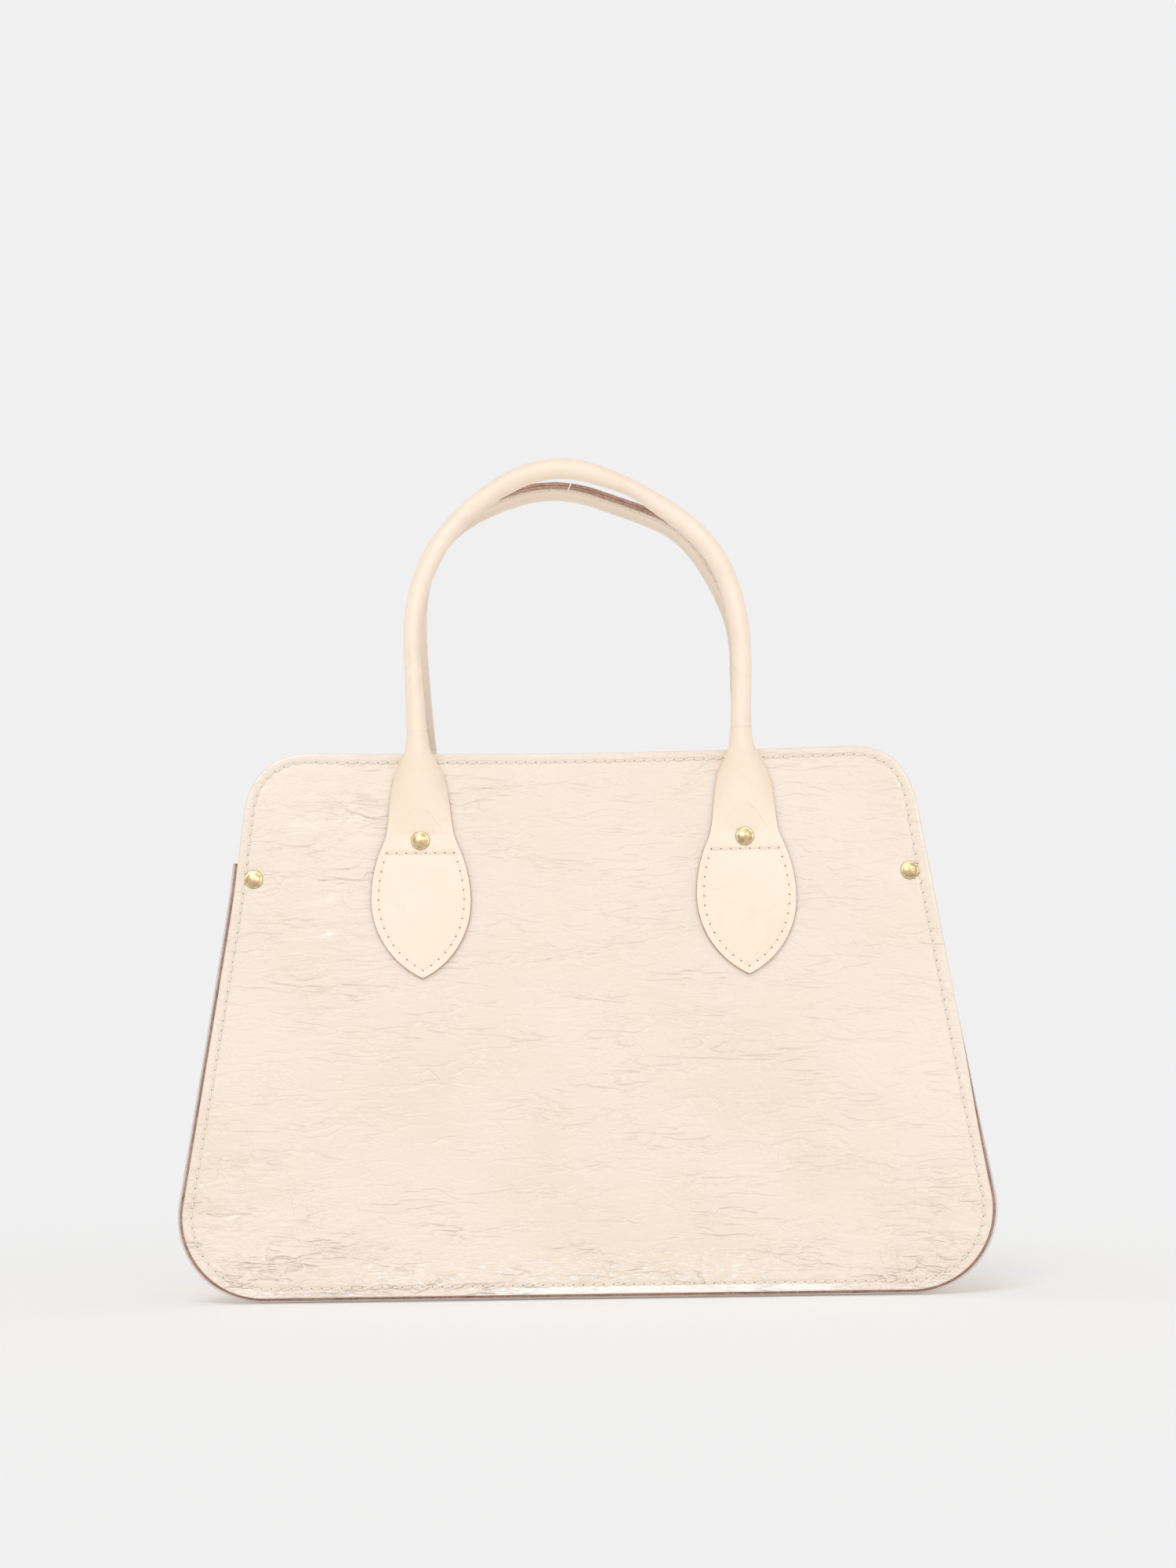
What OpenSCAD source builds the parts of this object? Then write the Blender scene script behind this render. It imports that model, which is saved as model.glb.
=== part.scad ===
// Trapeze handbag: two leaning leather panels joined by a turned-out gusset,
// with two rolled handles that open out into stitched and riveted leaf tabs.
// Millimetres. +Z is up, the front panel faces -Y, and the origin is the middle of the footprint.

/* [Body] */
// Distance between the two side lines where they meet the bottom edge of a panel
base_width = 360; // [320:1:400]
// Distance between the two side lines where they meet the mouth edge
mouth_width = 281; // [250:1:310]
// Height of a panel, measured along its own plane
panel_height = 236; // [210:1:260]
// Radius of the two lower corners of a panel
base_corner_r = 35; // [28:1:46]
// Radius of the two mouth corners of a panel
mouth_corner_r = 30; // [20:1:38]
// Depth of the bag over the panels at the floor
base_depth = 120; // [104:1:136]
// Depth of the bag over the panels at the mouth
mouth_depth = 72; // [64:1:88]
// Leather thickness of the panels
panel_t = 1.8; // [1.4:0.1:2.4]
// Thickness of the suede lining
lining_t = 0.8; // [0.6:0.1:1.2]

/* [Gusset] */
// Leather thickness of the gusset
gusset_t = 1.6; // [1.2:0.1:2]
// Width of the turned flange round the bottom, from the panel's edge to the web
seam_width = 7.5; // [6.5:0.5:9]
// Room between a side rivet's inner cap and the fold, at the gusset's upper ends
rivet_margin = 0.7; // [0.3:0.1:3]
// How far the flange's bevelled edge stands out past the panel's edge
flange_reach = 2.4; // [1.6:0.1:3]
// How much of that reach the bevel takes up
flange_bevel = 1.2; // [0.6:0.1:1.4]
// Inner radius of the fold between flange and web
fold_r = 1.5; // [1:0.1:2.5]
// Distance from the side rivets up to the gusset's upper ends
gusset_over_rivet = 7.5; // [5:0.5:12]

/* [Base board] */
// Distance from the ends of the stiff board to the gusset's bends
board_end_gap = 4; // [1:1:20]
// Distance from the board's long sides to the gusset's folds
board_side_gap = 0.5; // [0.5:0.5:10]
// Thickness of the board
board_t = 2.4; // [1.5:0.1:4]
// Radius of the board's corners
board_corner_r = 12; // [4:1:20]

/* [Handles] */
// Distance between the two legs of a handle
handle_span = 141; // [120:1:160]
// Outer diameter of the rolled part
roll_d = 9; // [8.4:0.1:10]
// Leather thickness of the handles and their tabs
strip_t = 1.5; // [1.2:0.1:1.8]
// Half of the flat strip's width, before it is rolled
strip_half_w = 14; // [13.5:0.1:16]
// Radius of the left shoulder of the arch, at the middle of the roll
left_shoulder_r = 81.5; // [72:0.5:84]
// Angle that the left shoulder turns through
left_shoulder_turn = 62; // [55:1:68]
// Radius of the crown
crown_r = 42.5; // [36:0.5:50]
// Angle that the crown turns through
crown_turn = 48; // [40:1:54]
// Angle that the right slope turns through
right_slope_turn = 28; // [22:1:34]
// Radius of the right shoulder
right_shoulder_r = 65; // [55:0.5:70]
// Height of the left leg above the mouth edge, up to the start of the arch
leg_rise = 46; // [40:0.5:60]
// Distance above the mouth edge at which the strip is rolled shut
roll_shut_rise = 6; // [3:0.5:12]
// Width of the glue line between the two raw edges in the keel
keel_gap = 0.1; // [0.05:0.05:0.2]
// Angle by which the keel turns towards the outside of the arch at its crown
crown_twist = 30; // [0:1:40]
// Radial clearance between the roll and its cord
core_clearance = 0.1; // [0.05:0.05:0.3]
// Clearance between the swinging handle and what it lies against
swing_clearance = 0.3; // [0.3:0.05:0.6]

/* [Tabs] */
// Distance from the mouth edge down to the tip of a leaf tab
tab_drop = 99.5; // [94:0.5:106]
// Half of the leaf's width where it is widest
tab_half_w = 21.7; // [20:0.1:24]
// Radius of the two arcs that meet in the leaf's tip
tab_tip_r = 38; // [36:1:50]
// Radius of the leaf's upper sides
tab_shoulder_r = 60; // [50:1:70]
// Radius of the hollow between leaf and neck
tab_neck_r = 29; // [24:1:36]
// Distance from the mouth edge down to the line along which the handle swings
hinge_drop = 27; // [24:0.5:28]

/* [Rivets] */
// Diameter of the domed caps
cap_d = 8; // [7:0.5:9]
// Height of the outer caps
cap_h = 1.9; // [1.7:0.1:2.4]
// Diameter of the caps on the inside
back_cap_d = 7; // [6:0.5:7]
// Height of the caps on the inside
back_cap_h = 1.3; // [1:0.1:1.6]
// Diameter of the shank
shank_d = 3; // [2.4:0.1:3.6]
// Radial clearance of a shank in its hole
shank_clearance = 0.05; // [0.02:0.01:0.1]
// Distance from the mouth edge down to the handle rivets
tab_rivet_drop = 39; // [36:0.5:42]
// Distance from the mouth edge down to the side rivets
side_rivet_drop = 55; // [50:0.5:70]
// Distance from the panel's side edge in to the side rivets
side_rivet_inset = 7.8; // [7:0.1:12]

/* [Magnetic snap] */
// Diameter of the two snap halves
snap_d = 17; // [14:0.5:18]
// Height of the socket half
snap_socket_h = 3.6; // [3.2:0.1:5]
// Height of the base of the nub half
snap_base_h = 1.8; // [1.4:0.1:2.4]
// Diameter of the nub
nub_d = 8; // [6:0.5:9]
// Height of the nub
nub_h = 2.2; // [1.6:0.1:2.4]
// Radial clearance of the nub in its socket
nub_clearance = 0.3; // [0.2:0.05:0.5]
// Diameter of the stem that holds a half to its backing plate
stem_d = 4; // [3:0.5:5]
// Diameter of the backing plates
plate_d = 19; // [18.5:0.5:22]
// Thickness of the backing plates
plate_t = 0.5; // [0.3:0.1:0.8]
// Clearance all round a backing plate in its pocket
plate_clearance = 0.3; // [0.1:0.1:0.6]
// Distance from the mouth edge down to the snap
snap_drop = 24; // [20:1:30]

/* [Hidden] */

CREAM = "#F4E5D2";
HANDLE_CREAM = "#FBE9D2";
SUEDE = "#8A6450";
BOARD = "#6E5344";
CORD = "#D9CDB8";
BRASS = "#C9B07A";

$fn = 48;
ARC_STEPS = 12;
BEND_STEPS = 4;
SIDE_STEPS = 5;
SECTION_STEPS = 8;
CURL_STEPS = 11;
ARCH_STEPS = [8, 7, 4, 6];
CORD_SIDES = 12;
KEEL_START = 0.6;
BIG = 1000;
FIT_PAD = 0.05;

mouth_s = flange_reach + panel_height;
lean = asin((base_depth - mouth_depth) / 2 / mouth_s);
side_angle = atan((base_width - mouth_width) / 2 / panel_height);
stack_t = panel_t + lining_t;
seam_t = stack_t + gusset_t;

// Half of a panel's width at a distance below its mouth edge
function half_width(drop) = mouth_width / 2 + drop * tan(side_angle);

// Points along a circular arc, both ends included
function arc_points(centre, r, from, to, steps = ARC_STEPS) =
    [for (i = [0:steps]) centre + r * [cos(from + (to - from) * i / steps), sin(from + (to - from) * i / steps)]];

function mirrored(points) = [for (i = [len(points) - 1:-1:0]) [-points[i].x, points[i].y]];

base_centre = [
    base_width / 2 - base_corner_r * (tan(side_angle) + 1 / cos(side_angle)),
    flange_reach + base_corner_r,
];
mouth_centre = [
    mouth_width / 2 + mouth_corner_r * (tan(side_angle) - 1 / cos(side_angle)),
    mouth_s - mouth_corner_r,
];

// Outline of a panel in its own plane: straight edges between the four round corners
module panel_outline() {
    edge = [cos(side_angle), sin(side_angle)];
    right = [
        base_centre - [0, base_corner_r], base_centre, base_centre + base_corner_r * edge,
        mouth_centre + mouth_corner_r * edge, mouth_centre, mouth_centre + [0, mouth_corner_r],
    ];
    polygon(concat(right, mirrored(right)));
    for (side = [-1, 1]) {
        translate([side * base_centre.x, base_centre.y]) circle(base_corner_r);
        translate([side * mouth_centre.x, mouth_centre.y]) circle(mouth_corner_r);
    }
}

// Places a child drawn in a panel's plane: x along it, y into the bag, z up the slope
module on_front() translate([0, -base_depth / 2, 0]) rotate([-lean, 0, 0]) children();
module on_rear() mirror([0, 1, 0]) on_front() children();

// A plate of thickness t whose outer face lies at depth d from the panel's outer face
module plate(d, t) translate([0, d + t, 0]) rotate([90, 0, 0]) linear_extrude(t) children();

// A cylinder square to the panel, from depth d inwards
module peg(x, s, d, length, diameter)
    translate([x, d, s]) rotate([-90, 0, 0]) cylinder(h = length, d = diameter);

function tab_x(side) = side * handle_span / 2;
tab_rivet_s = mouth_s - tab_rivet_drop;
side_rivet_x = half_width(side_rivet_drop) - side_rivet_inset / cos(side_angle);
side_rivet_s = mouth_s - side_rivet_drop;
hole_d = shank_d + 2 * shank_clearance;
snap_s = mouth_s - snap_drop;

module tab_rivet_holes()
    for (side = [-1, 1]) peg(tab_x(side), tab_rivet_s, -strip_t - 1, seam_t + strip_t + 2, hole_d);

module side_rivet_holes()
    for (side = [-1, 1]) peg(side * side_rivet_x, side_rivet_s, -1, seam_t + 2, hole_d);

// The leather panel, with a skived pocket behind the snap's backing plate
module panel() color(CREAM) difference() {
    plate(0, panel_t) panel_outline();
    tab_rivet_holes();
    side_rivet_holes();
    peg(0, snap_s, panel_t - plate_t, plate_t + 1, plate_d + 2 * plate_clearance);
}

module lining() color(SUEDE) difference() {
    plate(panel_t, lining_t) panel_outline();
    tab_rivet_holes();
    side_rivet_holes();
    peg(0, snap_s, 0, stack_t + 1, stem_d + 2 * shank_clearance);
}

// The gusset is a strip swept round the outline. A station is [point on the panel's edge, outward
// direction, flange width there]; the strip's section is the same all the way, but for that width.
gusset_end = mouth_s - side_rivet_drop + gusset_over_rivet;
seam_top_width = side_rivet_inset + back_cap_d / 2 + rivet_margin + fold_r;
side_foot = base_centre.y + base_corner_r * sin(side_angle);

function ease(f) = f * f * (3 - 2 * f);
function edge_x(s) = half_width(mouth_s - s);
function flange_width(s) =
    seam_width + (seam_top_width - seam_width) * ease(max(0, min(1, (s - side_foot) / (gusset_end - side_foot))));

function right_stations() = let (out = [cos(side_angle), sin(side_angle)]) concat(
    [for (i = [0:ARC_STEPS]) let (a = -90 + (90 + side_angle) * i / ARC_STEPS)
        [base_centre + base_corner_r * [cos(a), sin(a)], [cos(a), sin(a)], seam_width]],
    [for (i = [1:SIDE_STEPS]) let (s = side_foot + (gusset_end - side_foot) * i / SIDE_STEPS)
        [[edge_x(s), s], out, flange_width(s)]]
);

function left_stations() = let (right = right_stations())
    [for (i = [len(right) - 1:-1:0]) [[-right[i][0].x, right[i][0].y], [-right[i][1].x, right[i][1].y], right[i][2]]];

// From a panel's plane to the bag: point p in the plane, at depth d
function to_bag(p, d) = [
    p.x,
    -base_depth / 2 + d * cos(lean) + p.y * sin(lean),
    p.y * cos(lean) - d * sin(lean),
];

// Points of one station's ring: the front half, then its mirror image for the rear half.
// section holds [distance out from the web, depth from the panel's face] pairs; "reach" pairs are
// measured from the panel's edge instead.
function ring(station, section) = let (
    front = [for (p = section) let (out = p[2] ? p[0] : p[0] - station[2])
        to_bag(station[0] + station[1] * out, p[1])]
) concat(front, [for (i = [len(front) - 1:-1:0]) [front[i].x, -front[i].y, front[i].z]]);

// Closed solid through a list of rings with equally many points
module skin(rings) {
    n = len(rings[0]);
    last = len(rings) - 1;
    points = [for (r = rings) each r];
    sides = [for (i = [0:last - 1]) for (j = [0:n - 1]) let (
        a = i * n + j, b = i * n + (j + 1) % n, c = b + n, d = a + n
    ) each [[a, b, c], [a, c, d]]];
    start = [[for (j = [n - 1:-1:0]) j]];
    end = [[for (j = [0:n - 1]) last * n + j]];
    polyhedron(points, concat(sides, start, end));
}

// Half section of the gusset: flesh side from the flange's tip round the fold to the web, and back
// along the grain side
fold_d = seam_t + fold_r;
function gusset_flesh() = concat(
    [[flange_reach - flange_bevel, stack_t, true]],
    [for (p = arc_points([fold_r, fold_d], fold_r + gusset_t, -90, -180, BEND_STEPS)) [p.x, p.y, false]]
);
function gusset_grain() = concat(
    [[flange_reach, seam_t, true]],
    [for (p = arc_points([fold_r, fold_d], fold_r, -90, -180, BEND_STEPS)) [p.x, p.y, false]]
);

// A ring that goes along the flesh side from front to rear and comes back along the grain side
function strip_ring(station, inner, outer) = let (
    a = ring(station, inner), b = ring(station, outer)
) concat(a, [for (i = [len(b) - 1:-1:0]) b[i]]);

module gusset_strip(inner, outer)
    skin([for (st = concat(left_stations(), right_stations())) strip_ring(st, inner, outer)]);

module gusset() color(CREAM) difference() {
    gusset_strip(gusset_flesh(), gusset_grain());
    for (place = [0, 1]) mirror([0, place, 0]) on_front() side_rivet_holes();
    translate([-BIG / 2, -BIG / 2, -BIG]) cube(BIG);
}

module gusset_lining() color(SUEDE)
    gusset_strip(
        [[-gusset_t - lining_t, stack_t, false], [-gusset_t - lining_t, fold_d, false]],
        [[-gusset_t, stack_t, false], [-gusset_t, fold_d, false]]
    );

// Top of the gusset's lining at the bottom of the bag
floor_z = to_bag([0, flange_reach + seam_width + gusset_t + lining_t], fold_d).z;

board_length = 2 * (base_centre.x - board_end_gap);
board_width = base_depth - 2 * (fold_d / cos(lean) + (floor_z + board_t) * tan(lean) + board_side_gap);

module base_board() color(BOARD)
    translate([0, 0, floor_z]) linear_extrude(board_t) union() {
        square([board_length - 2 * board_corner_r, board_width], center = true);
        square([board_length, board_width - 2 * board_corner_r], center = true);
        for (x = [-1, 1], y = [-1, 1])
            translate([x * (board_length / 2 - board_corner_r), y * (board_width / 2 - board_corner_r)])
                circle(board_corner_r);
    }

// Right half of the leaf, from its tip up to the neck, with y measured down from the mouth edge
tip_centre = [tab_half_w - tab_tip_r, tab_drop - sqrt(tab_tip_r^2 - (tab_tip_r - tab_half_w)^2)];
tip_angle = acos((tab_tip_r - tab_half_w) / tab_tip_r);
neck_turn = acos((tab_shoulder_r + tab_neck_r - (tab_half_w - strip_half_w)) / (tab_shoulder_r + tab_neck_r));
shoulder_centre = [tab_half_w - tab_shoulder_r, tip_centre.y];
neck_centre = [strip_half_w + tab_neck_r, tip_centre.y - (tab_shoulder_r + tab_neck_r) * sin(neck_turn)];
tab_end_drop = hinge_drop + swing_clearance;

function leaf_half() = concat(
    arc_points(tip_centre, tab_tip_r, tip_angle, 0, 10),
    arc_points(shoulder_centre, tab_shoulder_r, 0, -neck_turn, 6),
    arc_points(neck_centre, tab_neck_r, 180 - neck_turn, 180, 6),
    [[strip_half_w, min(0, neck_centre.y - 1)]]
);

function leaf_outline() = let (
    half = [for (p = leaf_half()) [p.x, mouth_s - p.y]]
) concat(half, mirrored([for (i = [1:len(half) - 1]) half[i]]));

module tab(side) color(HANDLE_CREAM) difference() {
    plate(-strip_t, strip_t) translate([tab_x(side), 0]) difference() {
        polygon(leaf_outline());
        translate([-BIG / 2, mouth_s - tab_end_drop]) square(BIG);
    }
    tab_rivet_holes();
}

// A handle is one strip swept from its left hinge line over the arch to its right one. On the way
// up its section rolls shut, and its two raw edges meet flesh to flesh in a keel that faces into
// the bag.
roll_r = roll_d / 2;
mid_r = roll_r - strip_t / 2;
bore_r = mid_r * cos(180 / SECTION_STEPS) - strip_t / 2;
seam_angle = asin((strip_t + keel_gap) / 2 / mid_r);
shut_angle = 180 - seam_angle;
keel_l = strip_half_w - mid_r * shut_angle * PI / 180;
keel_tip = mid_r * cos(seam_angle) + keel_l;
axis_d = -(swing_clearance + keel_tip);
arch_s = mouth_s + leg_rise;
shut_s = mouth_s + roll_shut_rise;
hinge_s = mouth_s - hinge_drop;

// The arch is four tangent arcs; the right slope's radius is what closes the span
turns = [left_shoulder_turn, crown_turn, right_slope_turn,
    180 - left_shoulder_turn - crown_turn - right_slope_turn];
headings = [0, turns[0], turns[0] + turns[1], turns[0] + turns[1] + turns[2], 180];
function run(i) = cos(headings[i]) - cos(headings[i + 1]);
right_slope_r = (handle_span - left_shoulder_r * run(0) - crown_r * run(1) - right_shoulder_r * run(3)) / run(2);
radii = [left_shoulder_r, crown_r, right_slope_r, right_shoulder_r];

// Where arc number i begins, in the handle's plane
function arc_start(i) = i == 0 ? [-handle_span / 2, arch_s]
    : arc_start(i - 1) + radii[i - 1] * [run(i - 1), sin(headings[i]) - sin(headings[i - 1])];
function arc_at(i, heading) = arc_start(i)
    + radii[i] * [cos(headings[i]) - cos(heading), sin(heading) - sin(headings[i])];

// Stations along a handle: [point of the roll's axis, heading, how far the section is rolled shut].
// The heading is 0 up the left leg and 180 down the right one.
function curl_stations(x, heading) =
    [for (i = [0:CURL_STEPS - 1]) [[x, hinge_s + (shut_s - hinge_s) * i / CURL_STEPS], heading, i / CURL_STEPS]];
function arch_stations() = [for (i = [0:3]) each [for (k = [i == 0 ? 0 : 1:ARCH_STEPS[i]])
    let (heading = headings[i] + turns[i] * k / ARCH_STEPS[i]) [arc_at(i, heading), heading, 1]]];
function roll_stations() = concat(
    [[[-handle_span / 2, shut_s], 0, 1]], arch_stations(), [[[handle_span / 2, shut_s], 180, 1]]);
function handle_stations() = let (down = curl_stations(handle_span / 2, 180))
    concat(curl_stations(-handle_span / 2, 0), roll_stations(), [for (i = [len(down) - 1:-1:0]) down[i]]);

// How far the keel has turned towards the outside of the arch
function twist(heading) = crown_twist * sin(heading)^2;

// Middle line of the strip's section at stage f, from flat (0) to rolled shut (1): an arc, with the
// strip's margins turned outwards into the keel over the last stages
function shutness(f) = ease(max(0, (f - KEEL_START) / (1 - KEEL_START)));
function section_line(f) = let (
    margin = max(0.3, keel_l * shutness(f)),
    angle = max(1, shut_angle * f),
    r = (strip_half_w - margin) / (angle * PI / 180),
    heading = angle - (90 - seam_angle) * shutness(f),
    half = [for (i = [1:SECTION_STEPS]) let (a = angle * i / SECTION_STEPS) [r * sin(a), r * (1 - cos(a))]],
    line = concat(half, [half[SECTION_STEPS - 1] + margin * [cos(heading), sin(heading)]])
) concat(mirrored(line), [[0, 0]], line);

function unit(v) = v / norm(v);
function right_of(v) = [v.y, -v.x];
// Offsets an open line sideways by a distance, mitred at its corners
function beside(line, by) = [for (i = [0:len(line) - 1]) let (
    k = max(i, 1), m = min(i, len(line) - 2),
    before = right_of(unit(line[k] - line[k - 1])),
    after = right_of(unit(line[m + 1] - line[m])),
    normal = unit(before + after)
) line[i] + normal * by / (normal * after)];

// Closed section at stage f, with its rearmost point one clearance in front of the panel
function strip_section(f) = let (
    line = section_line(f),
    grain = beside(line, strip_t / 2),
    flesh = beside(line, -strip_t / 2),
    loop = concat(grain, [for (i = [len(flesh) - 1:-1:0]) flesh[i]]),
    back = max([for (p = loop) p.y])
) [for (p = loop) [p.x, p.y - back - swing_clearance]];

// A section set up at a station: its x points out of the arch, its y into the bag
function set_up(station, section) = let (
    heading = station[1], k = twist(heading)
) [for (p = section) let (
    q = [p.x, p.y - axis_d],
    out = q.x * cos(k) + q.y * sin(k),
    point = station[0] + out * [-cos(heading), sin(heading)]
) [point.x, axis_d + q.y * cos(k) - q.x * sin(k), point.y]];

module handle_cover() color(HANDLE_CREAM)
    skin([for (st = handle_stations()) set_up(st, strip_section(st[2]))]);

module handle_cord() color(CORD)
    skin([for (st = roll_stations()) set_up(st, [for (i = [0:CORD_SIDES - 1])
        [0, axis_d] + (bore_r - core_clearance) * [cos(360 * i / CORD_SIDES), sin(360 * i / CORD_SIDES)]])]);

// Domed cap whose seat lies at z = 0, with a socket for the shank
module domed_cap(diameter, height) {
    rim = height * 0.35;
    dome = height - rim;
    dome_r = (diameter^2 / 4 + dome^2) / (2 * dome);
    cylinder(h = rim, d = diameter);
    intersection() {
        translate([0, 0, height - dome_r]) sphere(dome_r);
        translate([0, 0, rim - FIT_PAD]) cylinder(h = dome + 1, d = diameter);
    }
}

shank_depth = 0.9;
// Outer cap, seated at depth d
module rivet_cap(x, s, d) color(BRASS) translate([x, d, s]) rotate([90, 0, 0]) difference() {
    domed_cap(cap_d, cap_h);
    translate([0, 0, -1]) cylinder(h = 1 + shank_depth, d = hole_d);
}

// Shank with the inner cap, clamping from depth d to depth e
module rivet_shank(x, s, d, e) color(BRASS) union() {
    peg(x, s, d - shank_depth, e - d + shank_depth + FIT_PAD, shank_d);
    translate([x, e, s]) rotate([-90, 0, 0]) domed_cap(back_cap_d, back_cap_h);
}

// Both sides of both panels
module four_times() for (side = [-1, 1]) {
    $side = side;
    on_front() children();
    on_rear() children();
}

module snap_half(height) {
    peg(0, snap_s, stack_t, height, snap_d);
    peg(0, snap_s, panel_t - plate_t, stack_t - panel_t + plate_t + FIT_PAD, stem_d);
}

module snap_nub() color(BRASS) union() {
    snap_half(snap_base_h);
    peg(0, snap_s, stack_t + snap_base_h - FIT_PAD, nub_h + FIT_PAD, nub_d);
}

module snap_socket() color(BRASS) difference() {
    snap_half(snap_socket_h);
    peg(0, snap_s, stack_t + snap_socket_h - nub_h - nub_clearance, nub_h + 1, nub_d + 2 * nub_clearance);
}

module snap_plate() color(BRASS) difference() {
    peg(0, snap_s, panel_t - plate_t, plate_t, plate_d);
    peg(0, snap_s, 0, panel_t + 1, stem_d + 2 * shank_clearance);
}

on_front() panel();  // front_panel
on_rear() panel();  // rear_panel
on_front() lining();  // front_lining
on_rear() lining();  // rear_lining
gusset();
gusset_lining();
base_board();
on_front() tab(-1);  // front_left_tab
on_front() tab(1);  // front_right_tab
on_rear() tab(-1);  // rear_left_tab
on_rear() tab(1);  // rear_right_tab
on_front() handle_cover();  // front_handle_cover
on_rear() handle_cover();  // rear_handle_cover
on_front() handle_cord();  // front_handle_cord
on_rear() handle_cord();  // rear_handle_cord
four_times() rivet_cap(tab_x($side), tab_rivet_s, -strip_t);  // tab_rivet_caps
four_times() rivet_shank(tab_x($side), tab_rivet_s, -strip_t, stack_t);  // tab_rivet_shanks
four_times() rivet_cap($side * side_rivet_x, side_rivet_s, 0);  // side_rivet_caps
four_times() rivet_shank($side * side_rivet_x, side_rivet_s, 0, seam_t);  // side_rivet_shanks
on_front() snap_nub();
on_rear() snap_socket();
union() {  // snap_plates
    on_front() snap_plate();
    on_rear() snap_plate();
}
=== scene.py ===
"""Cream leather trapeze handbag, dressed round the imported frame.

Lengths in this script are millimetres until a piece's mesh is made, and metres after that. A point of a
panel is (x, d, s): x to the right as seen from the front, d inwards from the panel's face, s up its slope.
"""

import logging
import math
from dataclasses import dataclass, field, replace
from enum import Enum

import bpy
import numpy as np
from mathutils import Matrix, Vector


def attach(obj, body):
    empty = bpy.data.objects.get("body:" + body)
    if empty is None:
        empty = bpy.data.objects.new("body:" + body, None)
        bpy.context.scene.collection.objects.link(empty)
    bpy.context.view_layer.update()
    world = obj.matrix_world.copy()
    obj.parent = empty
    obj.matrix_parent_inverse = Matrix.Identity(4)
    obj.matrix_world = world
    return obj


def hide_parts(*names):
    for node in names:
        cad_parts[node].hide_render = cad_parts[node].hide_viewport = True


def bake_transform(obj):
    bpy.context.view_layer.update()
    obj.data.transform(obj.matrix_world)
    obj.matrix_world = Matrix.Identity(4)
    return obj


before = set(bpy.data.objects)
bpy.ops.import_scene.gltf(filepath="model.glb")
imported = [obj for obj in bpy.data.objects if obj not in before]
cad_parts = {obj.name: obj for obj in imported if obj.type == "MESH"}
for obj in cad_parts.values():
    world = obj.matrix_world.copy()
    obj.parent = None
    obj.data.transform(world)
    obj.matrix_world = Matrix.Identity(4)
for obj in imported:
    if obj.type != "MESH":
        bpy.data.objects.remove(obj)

Array = np.ndarray
Material, Piece = bpy.types.Material, bpy.types.Object
Node, Socket, Tree = bpy.types.Node, bpy.types.NodeSocket, bpy.types.NodeTree
MM = 0.001
# A distance on a stitch row's map that is out of the row's reach, and the gap that parts two faces.
FAR = 50.0
AIR = 0.03
BODY = "bag_body"
# Marks on the leather's points: the raw cut, how creased it is and the share of painted highlight.
MARKS = ("raw", "creasing", "worn")
log = logging.getLogger("trapeze_bag")


class Side(Enum):
    """The two halves of the bag."""

    FRONT = "front"
    REAR = "rear"

    @property
    def sign(self) -> int:
        """1 on the front half, -1 on the rear half, which is its mirror image."""
        return 1 if self is Side.FRONT else -1

    @property
    def handle_body(self) -> str:
        """Name of the body that this side's handle rides on."""
        return f"{self.value}_handle"


def ease(t: Array) -> Array:
    """Smooth step from 0 to 1: 3t^2 - 2t^3 of t held between 0 and 1."""
    t = np.clip(t, 0.0, 1.0)
    return t * t * (3 - 2 * t)


def bump(x: Array, centre: float, spread: float) -> Array:
    """Bell curve of height 1: exp(-((x - centre) / spread)^2)."""
    return np.exp(-(((x - centre) / spread) ** 2))


def lattice_noise(x: Array, y: Array, seed: int) -> Array:
    """Smooth noise between -1 and 1.

    Random values stand on a unit lattice, and each point blends its cell's four values with ease().

    Args:
        x: First coordinate, in cells.
        y: Second coordinate, in cells.
        seed: Seed of the random values.

    Returns:
        The noise at each point.
    """
    size = 64
    table = np.random.default_rng(seed).uniform(-1, 1, (size, size))
    i, j = np.floor(x).astype(int), np.floor(y).astype(int)
    u, v = ease(x - i), ease(y - j)
    near, far = (
        table[i % size, k % size] * (1 - u) + table[(i + 1) % size, k % size] * u for k in (j, j + 1)
    )
    return near * (1 - v) + far * v


def unit(v: Array) -> Array:
    """Vectors scaled to length 1 along their last axis."""
    return v / np.maximum(np.linalg.norm(v, axis=-1, keepdims=True), 1e-12)


def circle(count: int) -> Array:
    """Angles of that many points spaced evenly round a circle."""
    return np.arange(count) * 2 * math.pi / count


def closed(rows: Array, axis: int = 1) -> Array:
    """Repeats the first slice after the last one, so that a ring closes."""
    return np.concatenate([rows, np.take(rows, [0], axis)], axis)


def rounding(depth: Array, r: float) -> Array:
    """Fall of a rounded edge at a depth inside it: r - r sqrt(1 - (1 - depth / r)^2), and 0 past r."""
    gone = np.clip(1 - depth / r, 0, 1)
    return r * (1 - np.sqrt(np.clip(1 - gone**2, 0, 1)))


def together(*values: Array | float) -> Array:
    """Values that broadcast against each other, side by side on a last axis."""
    return np.stack(np.broadcast_arrays(*values), -1)


def there_and_back(face: Array, back: Array) -> Array:
    """Columns of a strip's two sides in one row: across its face, then back over its other side."""
    return np.concatenate([face, back[:, ::-1]], 1)


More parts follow.
